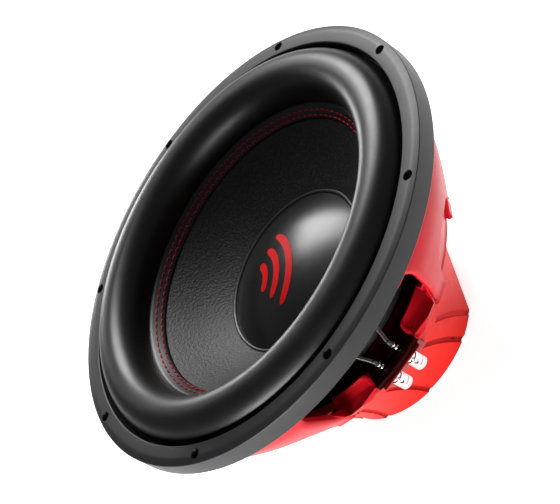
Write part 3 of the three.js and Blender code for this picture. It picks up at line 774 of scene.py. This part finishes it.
def stitch(radius, angle, rng):
    """One stitch that lies on the lip along its circle and dips into the rubber at its ends."""
    slope = (LIP["outer_z"] - LIP["inner_z"]) / (LIP["outer_r"] - 1.6 - LIP["inner_r"])
    base = LIP["inner_z"] + slope * (radius - LIP["inner_r"]) + 0.25
    length = STITCH["length"] * rng.uniform(0.92, 1.05)
    skew = rng.uniform(-0.15, 0.15)
    path = []
    steps = 8
    for i in range(steps + 1):
        part = i / steps - 0.5
        turn = angle + part * length / radius
        lift = STITCH["radius"] * (1.1 - 2.2 * (2 * abs(part)) ** 4)
        r = radius + skew * part
        path.append((r * math.cos(turn), r * math.sin(turn), base + lift))
    return tube_along("stitch", path, STITCH["radius"], 8)


def stitches():
    rng = random.Random(7)
    made = []
    for row, radius in enumerate(STITCH["rows"]):
        for i in range(STITCH["count"]):
            angle = TURN * (i + 0.5 * row) / STITCH["count"]
            made.append(stitch(radius, angle, rng))
    whole = smooth(merged("stitch_rows", made), 60)
    settle(whole, "moving_assembly", "surround_rubber", material=THREAD)


# ---------------------------------------------------------------- cone, dust cap, emblem and coil


def cone_line():
    """Front of the cone from its neck to its edge under the lip."""
    slope = (LIP["outer_z"] - LIP["inner_z"]) / (LIP["outer_r"] - LIP["inner_r"])
    under_lip = LIP["inner_z"] - LIP["wall"] - 0.3
    edge_z = under_lip + slope * (CONE["edge_r"] - LIP["inner_r"]) - 0.3
    return [
        (CONE["neck_r"] + 4, CONE["neck_z"] + 2.1), (CONE["cap_r"], CONE["cap_z"]),
        (95, 138.6), (LIP["inner_r"] - 0.3, under_lip), (CONE["edge_r"], edge_z),
    ]


def cone():
    wall = CONE["wall"]
    front = curve_through(cone_line(), 7)
    back = [(r, z - 1.2 * wall) for r, z in reversed(front)]
    outline = [(CONE["neck_r"], CONE["neck_z"] - wall), (CONE["neck_r"], CONE["neck_z"] + 2.1), *front, *back]
    body = smooth(lathe("cone_detail", outline, 256), 40)
    settle(body, "moving_assembly", "cone_paper", "cone")


def dome_z(radius, sphere_r=None):
    edge = math.asin(CAP["seat_r"] / CAP["sphere_r"])
    centre = CAP["seat_z"] - CAP["sphere_r"] * math.cos(edge)
    return centre + math.sqrt((sphere_r or CAP["sphere_r"]) ** 2 - radius ** 2)


def dust_cap():
    steps = 28
    seat = CAP["seat_r"]
    outside = [(seat * i / steps, dome_z(seat * i / steps)) for i in range(steps + 1)]
    inner_r = CAP["sphere_r"] - CAP["wall"]
    limit = seat - 0.6
    inside = [(limit * i / 12, dome_z(limit * i / 12, inner_r)) for i in range(12, -1, -1)]
    body = smooth(lathe("dust_cap_detail", [*outside, *inside], 192), 50)
    settle(body, "moving_assembly", "cap_satin", "dust_cap")


def cap_bead():
    """Bead of adhesive with a hand-laid, slightly uneven width."""
    steps = 192
    rings = []
    for j in range(steps):
        angle = TURN * j / steps
        width = 3.1 + 0.25 * math.sin(5 * angle + 1) + 0.15 * math.sin(13 * angle)
        ring = []
        for k in range(9):
            around = math.pi * k / 8
            r = CAP["seat_r"] + 0.3 + width / 2 * (1 - math.cos(around))
            z = CAP["seat_z"] - 0.4 + 0.5 * (r - CAP["seat_r"]) * 0.45 + 1.15 * math.sin(around)
            ring.append((r * math.cos(angle), r * math.sin(angle), z))
        rings.append(ring)
    body = smooth(loft("cap_bead_detail", rings), 60)
    settle(body, "moving_assembly", "adhesive", "cap_bead")


EMBLEM_CENTRE = (-31, 13)
EMBLEM_ARCS = (17, 31, 45)
EMBLEM_SPREAD = math.radians(50)
EMBLEM_TOWARD = math.radians(-32)


def emblem():
    """Three concentric arcs, like sound waves, as a thin raised print that follows the dome."""
    made = []
    for arc in EMBLEM_ARCS:
        columns = 41
        rows = []
        for side, lift in ((-1, -0.15), (-1, 0.3), (1, 0.3), (1, -0.15)):
            row = []
            for j in range(columns):
                part = 2 * j / (columns - 1) - 1
                angle = EMBLEM_TOWARD + EMBLEM_SPREAD * part
                half = 3.4 * math.sqrt(max(0.04, 1 - part ** 8))
                radius = arc + side * half
                x = EMBLEM_CENTRE[0] + radius * math.cos(angle)
                y = EMBLEM_CENTRE[1] + radius * math.sin(angle)
                row.append((x, y, dome_z(math.hypot(x, y)) + lift))
            rows.append(row)
        rings = [[rows[k][j] for k in range(4)] for j in range(columns)]
        made.append(loft("arc", rings, close=False))
    whole = smooth(merged("cap_emblem", made), 30)
    settle(whole, "moving_assembly", "cap_satin", material=EMBLEM)


# ---------------------------------------------------------------- spiders


def spider_wedge(name, z, start):
    steps = 72
    middle = [(33.2, z + 1.6), (34.2, z + 1.5), (35.2, z + 0.2)]
    for i in range(steps + 1):
        part = i / steps
        radius = SPIDER["from"] + (SPIDER["to"] - SPIDER["from"]) * part
        fade = min(1, 8 * part, 8 * (1 - part))
        middle.append((radius, z - SPIDER["amplitude"] * fade * math.sin(part * SPIDER["waves"] * TURN)))
    middle += [(82.5, z), (SPIDER["outer"], z)]
    half = SPIDER["wall"] / 2
    outline = [(r, h + half) for r, h in middle] + [(r, h - half) for r, h in reversed(middle)]
    return smooth(lathe(name, outline, 16, start, TURN / SPIDER["wedges"]), 50)


def spiders():
    """Each spider is made of wedges."""
    for node in ("spider_lower", "spider_upper"):
        low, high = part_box(node)
        z = (low.z + high.z) / 2 / MM
        for i in range(SPIDER["wedges"]):
            start = TURN * i / SPIDER["wedges"]
            wedge = spider_wedge(f"{node}_wedge_{i + 1}", z, start)
            along = start + TURN / SPIDER["wedges"] / 2
            start, end = ((r * math.cos(along), r * math.sin(along), z) for r in SPIDER["bends"])
            stands_for = [node] if i == 0 else []
            bend(wedge, "spider_cloth", ("moving_assembly", "frame"), start, end, *stands_for)


# ---------------------------------------------------------------- motor


def ring_outline(inner, outer, bottom, top, edge):
    """Outline of a plain ring with its four edges rounded."""
    return [(inner, bottom, edge), (outer, bottom, edge), (outer, top, edge), (inner, top, edge)]


def winding_outline(inner):
    return ring_outline(inner, inner + COIL["layer"], COIL["bottom"], COIL["top"], 0.2)


def magnet_outline(bottom):
    return ring_outline(MAGNET["inner"], MAGNET["outer"], bottom, bottom + MAGNET["height"], 0.8)


def motor():
    turned_parts = [
        ("coil_former", "moving_assembly", "former_aluminium", ring_outline(*COIL["former"], 38, 109, 0)),
        ("coil_winding_inner", "moving_assembly", "copper_wire", winding_outline(COIL["inner"])),
        ("coil_winding_outer", "moving_assembly", "copper_wire", winding_outline(COIL["outer"])),
        ("spider_spacer", "frame", "spacer_plastic", ring_outline(
            SPACER["inner"], SPACER["outer"], SPACER["bottom"], SPACER["top"], 0.6)),
        ("magnet_front", "frame", "ferrite", magnet_outline(MAGNET["front"])),
        ("magnet_rear", "frame", "ferrite", magnet_outline(MAGNET["rear"])),
        ("shorting_ring", "frame", "former_aluminium", ring_outline(35.6, 38.7, 15, 24, 0.4)),
        ("yoke", "frame", "motor_steel", [
            (15, 3.5, 0.6), (61, 3.5, 1), (64, 6.5, 1), (64, 13.5, 0.3), (31.9, 13.5, 0.8), (31.9, 66.5, 1),
            (14, 66.5, 1), (11, 62.5, 1), (11, 9.5, 1)]),
    ]
    for node, body, slot_name, corners in turned_parts:
        piece = smooth(lathe(f"{node}_detail", rounded(corners, 3), 128), 40)
        settle(piece, body, slot_name, node)


def vent_screen():
    n = SCREEN
    disc = lathe("vent_screen_detail", rounded([
        (0, n["bottom"], 0), (n["radius"], n["bottom"], 0.2), (n["radius"], n["top"], 0.2), (0, n["top"], 0),
    ], 2), 64)
    holes = []
    for ring in range(n["rings"]):
        count = max(1, 6 * ring)
        for i in range(count):
            hole = lathe("hole", [(0, 3), (n["hole"], 3), (n["hole"], 6), (0, 6)], 12)
            shifted(hole, x=n["pitch"] * ring)
            holes.append(turned(hole, TURN * i / count))
    cut(disc, *holes)
    settle(smooth(disc, 40), "frame", "screw_black", "vent_screen")


# ---------------------------------------------------------------- basket

BOWL_LINE = curve_through(BOWL, 5)


def skin_radius(z, inset=0.0):
    """Outer radius of the bowl at a height."""
    points = BOWL_LINE
    if z <= points[0][1]:
        return points[0][0] - inset
    for (r0, z0), (r1, z1) in zip(points, points[1:]):
        if z <= z1:
            return r0 + (r1 - r0) * (z - z0) / (z1 - z0) - inset
    return points[-1][0] - inset


def skin_y(x, z):
    radius = skin_radius(z)
    return -math.sqrt(max(radius ** 2 - x ** 2, 1.0))


def offset_outline(points, distance):
    """The outline of (x, z) points moved outwards along its normals."""
    moved = []
    count = len(points)
    area = sum(points[i - 1][0] * points[i][1] - points[i][0] * points[i - 1][1] for i in range(count))
    sign = 1 if area > 0 else -1
    for i in range(count):
        before = Vector(points[i - 1])
        after = Vector(points[(i + 1) % count])
        along = (after - before).normalized()
        moved.append((points[i][0] + sign * along.y * distance, points[i][1] - sign * along.x * distance))
    return moved


def edge_cutter(name, outline, edge, near):
    """Cutter along Y with the outline, which leaves a rounded edge of that radius on the bowl's skin."""
    first = edge * (1 - math.sin(EDGE_LEAD_IN)) + EDGE_CLEAR / math.tan(EDGE_LEAD_IN)
    layers = [(first, -EDGE_CLEAR)]
    for k in range(7):
        angle = EDGE_LEAD_IN + (math.pi / 2 - EDGE_LEAD_IN) * k / 6
        layers.append((edge * (1 - math.sin(angle)), edge * (1 - math.cos(angle))))
    rings = [[(x, CUTTER_FAR, z) for x, z in offset_outline(outline, first)]]
    for offset, depth in layers:
        rings.append([(x, skin_y(x, z) + depth, z) for x, z in offset_outline(outline, offset)])
    rings.append([(x, near, z) for x, z in outline])
    return loft(name, rings, close=False)


def dense(points, pitch=3.0):
    """The closed outline with points added on its long straight stretches."""
    result = []
    for i, (x, z) in enumerate(points):
        nx, nz = points[(i + 1) % len(points)]
        parts = max(1, round(math.hypot(nx - x, nz - z) / pitch))
        result += [(x + (nx - x) * k / parts, z + (nz - z) * k / parts) for k in range(parts)]
    return result


def box_outline(half, far, near):
    return [(-half, far), (half, far), (half, near), (-half, near)]


def window_cutters():
    w = WINDOW
    outline = dense(rounded([
        (-w["half_foot"], w["foot"], 0), (w["half_foot"], w["foot"], 0), (w["half_low"], w["low"] + 4, 30),
        (w["half_top"], w["top"], w["corner"]), (-w["half_top"], w["top"], w["corner"]),
        (-w["half_low"], w["low"] + 4, 30),
    ], 8))
    cutters = []
    for i in range(4):
        angle = TURN * i / 4
        cutters.append(turned(edge_cutter("window", outline, WINDOW_EDGE, -SHELF["outer"]), angle))
        for bottom, top in ((w["foot"] + 1, SHELF["bottom"]), (SHELF["top"], w["low"] + 8)):
            low, high = (w["half_foot"] + FOOT_SLOPE * (z - w["foot"]) - 1 for z in (bottom, top))
            slab = loft("slab", [
                [(x, y, z) for x, y in box_outline(half, CUTTER_FAR, WINDOW_NEAR)]
                for z, half in ((bottom, low), (top, high))
            ], close=False)
            cutters.append(turned(slab, angle))
    return cutters


def pocket_cutters():
    p = POCKET
    arch = [(-p["half"], p["bottom"]), (p["half"], p["bottom"])]
    for k in range(25):
        angle = math.pi * k / 24
        arch.append((p["half"] * math.cos(angle), p["spring"] + (p["top"] - p["spring"]) * math.sin(angle)))
    outline = dense(arch, 2.5)
    cutters = []
    for i in range(4):
        cutter = edge_cutter("pocket", outline, p["edge"], -100)
        core = [(0, 60)] + [(skin_radius(z, p["depth"]), z) for z in range(60, 131, 3)] + [(0, 129)]
        cut(cutter, lathe("core", core, 192))
        cutters.append(turned(cutter, TURN * (i + 0.5) / 4))
    return cutters


def pad(side):
    """Tongue beside a window's lower corner: a raised rim round a scoop that slopes down outwards."""
    inner, outer = PAD["inner"], PAD["outer"]
    first, last = math.radians(PAD["from"]), math.radians(PAD["to"])
    middle = (inner + outer) / 2
    corners = rounded([
        (first * middle, inner + 0.4, 9), (last * middle, inner, 0), (last * middle, outer, 0),
        (first * middle, outer, 2),
    ], 10)
    slope = (PAD["top"] - PAD["low"]) / (outer - PAD["rim"])
    rings = []
    for inset, drop in ((0, None), (0, 1.4), (0.4, 0.4), (1.4, 0), (2.6, 0), (3.4, 0.8), (4.4, 1.6)):
        ring = []
        for along, radius in offset_outline(dense(corners, 2), -inset):
            angle = -math.pi / 2 + side * along / middle
            height = PAD["top"] - slope * max(0, radius - PAD["rim"]) - (drop or 0)
            ring.append((radius * math.cos(angle), radius * math.sin(angle),
                         SHELF["bottom"] + 0.5 if drop is None else height))
        rings.append(ring)
    return loft("pad", rings, close=False)


def basket():
    wall_r, wall_z = LEG_WALL
    inside = [(r - wall_r, z + wall_z) for r, z in reversed(BOWL_LINE) if 103 < z + wall_z < 165]
    flange = rounded([
        (BOWL_LINE[-1][0] + 0.05, FLANGE["rear"], 2.5), (RIM_R, FLANGE["rear"], 0.8),
        (RIM_R, FLANGE["front"], 0.8), (FLANGE["inner"], FLANGE["front"], 0.6), (FLANGE["inner"], 166, 0.4),
        (170, 165.4, 2),
    ], 4)
    bowl = lathe("basket_detail", [
        *BOWL_LINE, *flange, *inside,
        (139.5, 103), (128, 92), (122, 88.5), (122, 83), (127.4, 83), (127.4, 79),
    ], 256)
    cut(bowl, *window_cutters())
    cut(bowl, *pocket_cutters())
    middle = lathe("middle", rounded([
        (MOTOR_FLANGE["inner"], MOTOR_FLANGE["bottom"], 0.5), (CUP["outer"], MOTOR_FLANGE["bottom"], 1.5),
        (CUP["outer"], SHELF["bottom"], 1.5), (SHELF["outer"], SHELF["bottom"], 0.8),
        (SHELF["outer"], SHELF["top"], 1.2), (102, SHELF["top"], 1.5), (99, LANDING_Z, 0.8),
        (86, LANDING_Z, 1), (CUP["inner"], LANDING_Z - 4, 1), (CUP["inner"], MOTOR_FLANGE["top"], 2),
        (MOTOR_FLANGE["inner"], MOTOR_FLANGE["top"], 0.5),
    ], 4), 192)
    pads = [turned(pad(side), TURN * i / 4) for i in range(4) for side in (-1, 1)]
    bays = []
    for i in range(4):
        outline = rounded([(BAY["inner"], SHELF["bottom"], 0), (BAY["outer"], SHELF["bottom"], 0.6),
                           (BAY["outer"], SHELF["top"], 1.2), (BAY["inner"], SHELF["top"], 0)], 4)
        half = math.radians(BAY["half"])
        bays.append(lathe("bay", outline, 40, TURN * (i - 1) / 4 - half, 2 * half))
    join(bowl, middle, *bays, *pads)
    slots = []
    for i in (0, 1):
        rings = [[(x, y - TAB_DISTANCE, z) for x, y in box_outline(17, -3, 3)] for z in (80, 91)]
        slots.append(turned(loft("slot", rings, close=False), TURN * i / 2))
    cut(bowl, *slots, *bolt_cutters(BOLT_HOLE_R, FLANGE["rear"] - 3, FLANGE["front"] + 3))
    smooth(bowl, 38)
    settle(bowl, "frame", "basket_red", "basket")


# ---------------------------------------------------------------- magnet boot


def boot_radius(z):
    return BOOT["rim_r"] + BOOT["flare"] * (max(0, z) / BOOT["top"]) ** BOOT["power"]


def boot_ring(z, inset):
    """One ring of the boot's outer skin: panels between ridges, which are steps that die out forward."""
    steps = 14
    along = z / BOOT["top"]
    step = BOOT_STEP * max(0, 1 - z / BOOT_STEP_END)
    radius = boot_radius(z) - inset
    ridges = [(rear + turn, front + turn, flat) for turn in (0, 180) for rear, front, flat in BOOT_RIDGES]
    angles = [math.radians(rear + (front - rear) * along) for rear, front, _ in ridges]
    points = []
    for i, (rear, _, flat) in enumerate(ridges):
        first = angles[i]
        last = angles[i + 1] if i + 1 < len(ridges) else angles[0] + TURN
        half = (last - first) / 2
        for k in range(steps + 1):
            part = 1 - math.radians(0.6) / (2 * half) if k == steps else k / steps
            angle = first + (last - first) * part
            chord = math.cos(half) / math.cos(angle - first - half)
            faces_on = part if 0 <= rear < 180 else 1 - part
            r = radius * (1 + (chord - 1) * flat * (1 - along) ** 1.5) - step * faces_on
            points.append((r * math.sin(angle), -r * math.cos(angle), z))
    return points


def boot_grooves():
    """Cutter along the foot of each ridge, from the rear rim to a blunt end short of the front."""
    grooves = []
    for turn in (0, 180):
        for rear, front, _ in BOOT_RIDGES:
            path = []
            for k in range(25):
                z = -2 + (BOOT_GROOVE["end"] + 2) * k / 24
                angle = math.radians(rear + turn + (front - rear) * z / BOOT["top"])
                radius = boot_radius(z) - BOOT_STEP * max(0, 1 - z / BOOT_STEP_END) / 2
                path.append((radius * math.sin(angle), -radius * math.cos(angle), z))
            grooves.append(tube_along("groove", path, BOOT_GROOVE["radius"], 12))
    return grooves


def boot_circle(radius, z):
    ring = []
    for x, y, _ in boot_ring(BOOT["top"], 0):
        scale = radius / math.hypot(x, y)
        ring.append((x * scale, y * scale, z))
    return ring


def magnet_boot():
    b = BOOT
    levels = [0.9, 2.2, 4, 8, 14, 20, 26, 32, 38, 44, 50, 56, 62, 68, 73, 77, 80, 81.6]
    rim = [[(x, y, 0) for x, y, _ in boot_ring(0, 3)], [(x, y, 0.25) for x, y, _ in boot_ring(0.3, 1.6)]]
    rim.append([(x, y, 0.9) for x, y, _ in boot_ring(0.9, 0.5)])
    outer = [boot_ring(z, 0) for z in levels[1:]]
    front = [[(x, y, b["top"] - 0.3) for x, y, _ in boot_ring(b["top"], 0.35)], boot_ring(b["top"], 1.2)]
    inner = []
    for z in (b["top"], 62, 42, 22, 5):
        inner.append(boot_ring(z, b["wall"] + (b["top_wall"] - b["wall"]) * (z / b["top"])))
    floor = [[(x, y, 3.2) for x, y, _ in boot_ring(5, 5)], boot_circle(b["vent_r"], 3.2)]
    lip = [boot_circle(b["vent_r"] + wider, z) for wider, z in ((-0.2, 1.6), (0.3, 0.4), (1, 0))]
    boot = loft("magnet_boot_detail", [*rim, *outer, *front, *inner, *floor, *lip])
    pockets = []
    for i in (0, 1):
        outline = box_outline(BLOCK["half"] + 0.3, -107.7, -170)
        pocket = loft("pocket", [[(x, y, z) for x, y in outline] for z in (59.7, 110)], close=False)
        pockets.append(turned(pocket, TURN * i / 2))
    smooth(boot, 40)
    cut(boot, *pockets)
    cut(boot, *boot_grooves())
    smooth(boot, 26)
    settle(boot, "frame", "boot_rubber", "magnet_boot")


# ---------------------------------------------------------------- terminals and leads


def terminal_block(number, turn):
    b = BLOCK
    profile = rounded([
        (b["back"], b["bottom"], 0.8), (b["foot"], b["bottom"], 1), (b["front"], b["lip"], 1.5),
        (b["edge"], b["lip"], 0.4), (b["edge"], b["top"], 0.4), (b["back"], b["top"], 0.3),
    ], 4)
    ends = ((0.3, 0), (0.1, 0.1), (0, 0.4))
    rings = []
    for inset, x in [(i, d - b["half"]) for i, d in ends] + [(i, b["half"] - d) for i, d in reversed(ends)]:
        rings.append([(x, -y, z) for y, z in offset_outline(profile, -inset)])
    block = smooth(loft("terminal_block", rings, close=False), 35)
    block.name = f"terminal_block_{number}_detail"
    settle(turned(block, turn), "frame", "terminal_plastic", f"terminal_block_{number}")


def place_terminal(obj, hand, turn):
    shifted(obj, x=hand * TERMINAL["spacing"] / 2, y=-TERMINAL["distance"])
    return turned(obj, turn)


def wire_hole(z, inner):
    """Cutter for the hole that takes a bare wire end, from the outside of the speaker inwards."""
    hole = lathe("hole", [(0, inner), (1.9, inner), (1.9, 5.6), (2.3, 6.1), (2.3, 12), (0, 12)], 24)
    hole.data.transform(Matrix.Rotation(math.pi / 2, 4, "X"))
    return shifted(hole, z=z)


def terminal_post(number, hand, turn):
    p = POST
    post = lathe(f"terminal_post_{number}_detail", rounded([
        (0, p["top"], 0), (p["radius"], p["top"], 0.4), (p["radius"], p["end"], 0.3),
        (p["bore"], p["end"], 0.2), (p["bore"], p["seat"], 0), (0, p["seat"], 0),
    ], 4), 48)
    cut(post, wire_hole(POST_HOLE_Z, 1.2))
    smooth(post, 35)
    settle(place_terminal(post, hand, turn), "frame", "terminal_nickel", f"terminal_post_{number}")
    # black collar: partly a black insulating collar, partly painted shade standing for the shadow in the gap
    # between the post and the block's lip
    collar = lathe(f"terminal_collar_{number}", rounded([
        (5.12, 81.15, 0.1), (5.7, 81.15, 0.1), (5.7, 81.6, 0.1), (5.12, 81.6, 0.1)], 2), 48)
    smooth(place_terminal(collar, hand, turn), 35)
    settle(collar, "frame", "screw_black", material=SLEEVE_BLACK)


def terminal_button(number, hand, turn):
    """Sleeve over the post, with a wire hole, a thin groove and a crowned end to press."""
    b = BUTTON
    button = lathe(f"terminal_button_{number}_detail", rounded([
        (0, 65.55, 0), (4.4, b["end"], 1.5), (5.9, b["end"], 1.1), (b["radius"], 70.15, 0.25),
        (5.6, 70.4, 0.1), (b["radius"], 70.65, 0.25), (b["radius"], b["front"], 0.5),
        (b["inner"], b["front"], 0.15), (b["inner"], b["seat"], 0.3), (0, b["seat"], 0),
    ], 4), 48)
    cut(button, wire_hole(BUTTON_HOLE_Z, 3))
    smooth(button, 35)
    place_terminal(button, hand, turn)
    settle(button, f"button_{number}", "terminal_nickel", f"terminal_button_{number}")


def terminal_spring(number, hand, turn):
    radius = SPRING["radius"]
    path = []
    steps = 24 * SPRING["turns"]
    for i in range(steps + 1):
        angle = TURN * SPRING["turns"] * i / steps
        z = SPRING["bottom"] + SPRING["rise"] * i / steps
        path.append((radius * math.cos(angle), radius * math.sin(angle), z))
    spring = smooth(tube_along(f"terminal_spring_{number}_detail", path, SPRING["wire"], 8), 60)
    place_terminal(spring, hand, turn)
    settle(spring, "frame", "spring_steel", f"terminal_spring_{number}")
    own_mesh(spring)


def lead_path(hand, per_span=6):
    spread = []
    for r, z in LEAD_ROUTE:
        spread.append((hand * TERMINAL["spacing"] / 2 + LEAD_SPLAY[hand] * (TAB_DISTANCE - r), -r, z))
    return curve_through(spread, per_span)


def lead_tab(number, hand, turn):
    x = hand * TERMINAL["spacing"] / 2
    strip_rings = []
    for inset, y in ((0.3, -0.5), (0, -0.3), (0, 0.3), (0.3, 0.5)):
        outline = rounded([
            (-2.5, 83, 0.3), (2.5, 83, 0.3), (2.5, 88, 0.6), (1.6, 90.5, 0.4), (-1.6, 90.5, 0.4),
            (-2.5, 88, 0.6),
        ], 3)
        strip_rings.append([(px, y, z) for px, z in offset_outline(outline, -inset)])
    strip = loft("strip", strip_rings, close=False)
    barrel = lathe("barrel", rounded([
        (0, 88.6, 0), (2.2, 88.6, 0.3), (2.5, 89.4, 0.3), (2.5, 90.6, 0.3), (2.1, 91.2, 0.3), (2.1, 92.4, 0.3),
        (2.5, 93, 0.3), (2.5, 94.8, 0.3), (2.2, 95.2, 0.2), (0, 95.2, 0),
    ], 3), 32)
    tab = smooth(join(barrel, strip), 35)
    tab.name = f"lead_tab_{number}_detail"
    turned(shifted(tab, x=x, y=-TAB_DISTANCE), turn)
    settle(tab, "frame", "terminal_nickel", f"lead_tab_{number}")


def braid_relief(part, angle):
    """Fine ribs that wind round a strand."""
    return 1 + 0.05 * math.sin(3 * angle + 260 * part)


def tinsel_lead(number, hand, turn):
    """Two braided strands that lie side by side with a slow twist."""
    path = [Vector(p) for p in lead_path(hand, 8)]
    strands = []
    for phase in (0, math.pi):
        line = []
        for i, point in enumerate(path):
            tangent = tangent_at(path, i)
            across = tangent.cross(Vector((0, 0, 1))) if abs(tangent.z) < 0.95 else Vector((1, 0, 0))
            across.normalize()
            up = across.cross(tangent)
            twist = phase + 0.5 * math.sin(i / len(path) * 3)
            line.append(tuple(point + (across * math.cos(twist) + up * math.sin(twist)) * 0.76))
        strands.append(tube_along("strand", line, 0.74, 10, braid_relief))
    lead = smooth(merged(f"tinsel_lead_{number}_detail", strands), 70)
    turned(lead, turn)
    c, s = math.cos(turn), math.sin(turn)
    start = (58 * s, -58 * c, 110)
    end = (74 * s, -74 * c, 110)
    bend(lead, "tinsel_braid", ("moving_assembly", "frame"), start, end, f"tinsel_lead_{number}")
    sleeve = smooth(tube_along(f"lead_sleeve_{number}", lead_path(hand, 6)[-13:], 1.95, 20), 40)
    settle(turned(sleeve, turn), "frame", "tinsel_braid", material=SLEEVE_BLACK)
    top = path[0]
    anchor = lathe(f"lead_anchor_{number}", rounded([
        (0, -1.6, 0), (2.6, -1.2, 1), (4.4, 1.2, 0.8), (4.8, 4.6, 0), (0, 6.6, 0)], 4), 32)
    shifted(anchor, x=top.x, y=top.y, z=top.z)
    settle(turned(smooth(anchor, 50), turn), "moving_assembly", "adhesive")


def terminals():
    number = 0
    for side in (0, 1):
        turn = side * math.pi
        terminal_block(side + 1, turn)
        for hand in (-1, 1):
            number += 1
            terminal_post(number, hand, turn)
            terminal_button(number, hand, turn)
            terminal_spring(number, hand, turn)
            lead_tab(number, hand, turn)
            tinsel_lead(number, hand, turn)


# ---------------------------------------------------------------- stage


CAMERA_PLACE = (0.20101, -1.14100, 0.90218)
# where the camera's right, up and back point
CAMERA_AXES = ((0.57672, -0.38062, -0.72286), (0.80473, 0.41711, 0.42241), (0.14073, -0.82532, 0.54685))
CAMERA_LENS = 110.29
LIT_POINT = (0, 0, 0.1)
# name, place, size and power of each light
LIGHTS = [
    ("far_side", (0.6, 1.3, 1.3), (1.0, 0.9), 34),
    ("near_low", (-1.2, -1.25, 0.13), (1.2, 0.5), 48),
    ("far_left", (-0.5, 1.9, 0.45), (0.5, 0.5), 8),
]
WORLD_STRENGTH = 0.12
FLOOR_Z = -0.4
FLOOR_RINGS = (6000, 3000, 750)


def camera():
    data = bpy.data.cameras.new("camera")
    data.lens = CAMERA_LENS
    data.sensor_width = 36
    obj = bpy.data.objects.new("camera", data)
    obj.matrix_world = Matrix.Translation(CAMERA_PLACE) @ Matrix(CAMERA_AXES).transposed().to_4x4()
    bpy.context.scene.collection.objects.link(obj)
    bpy.context.scene.camera = obj


def area_light(name, place, size, power):
    data = bpy.data.lights.new(name, "AREA")
    data.shape = "RECTANGLE"
    data.size, data.size_y = size
    data.energy = power
    obj = bpy.data.objects.new(name, data)
    obj.location = place
    obj.rotation_mode = "QUATERNION"
    obj.rotation_quaternion = (Vector(LIT_POINT) - Vector(place)).to_track_quat("-Z", "Y")
    bpy.context.scene.collection.objects.link(obj)


def studio():
    world = bpy.data.worlds.new("studio")
    world.use_nodes = True
    background = world.node_tree.nodes["Background"]
    background.inputs["Color"].default_value = (1, 1, 1, 1)
    background.inputs["Strength"].default_value = WORLD_STRENGTH
    bpy.context.scene.world = world
    bpy.context.scene.view_settings.view_transform = "Standard"
    for light in LIGHTS:
        area_light(*light)


def floor():
    steps = 64
    angles = [TURN * i / steps for i in range(steps)]
    verts = [(math.cos(a) * r, math.sin(a) * r, FLOOR_Z) for r in FLOOR_RINGS for a in angles]
    inner = len(verts) - steps
    middle = [(inner + i, inner + (i + 1) % steps, len(verts)) for i in range(steps)]
    faces = grid_faces(len(FLOOR_RINGS), steps, False, True) + middle
    ground = make_object("floor", [*verts, (0, 0, FLOOR_Z)], faces)
    ground.data.materials.append(floor_finish())


# ---------------------------------------------------------------- the whole

camera()
studio()
floor()
gasket_ring()
surround()
stitches()
cone()
dust_cap()
cap_bead()
emblem()
spiders()
motor()
vent_screen()
basket()
magnet_boot()
terminals()
for part in frame["record"]["subparts"]:
    node = frame["nodes"][part["node"]]
    if not node.hide_render:
        dress(node, part["material_slot"])
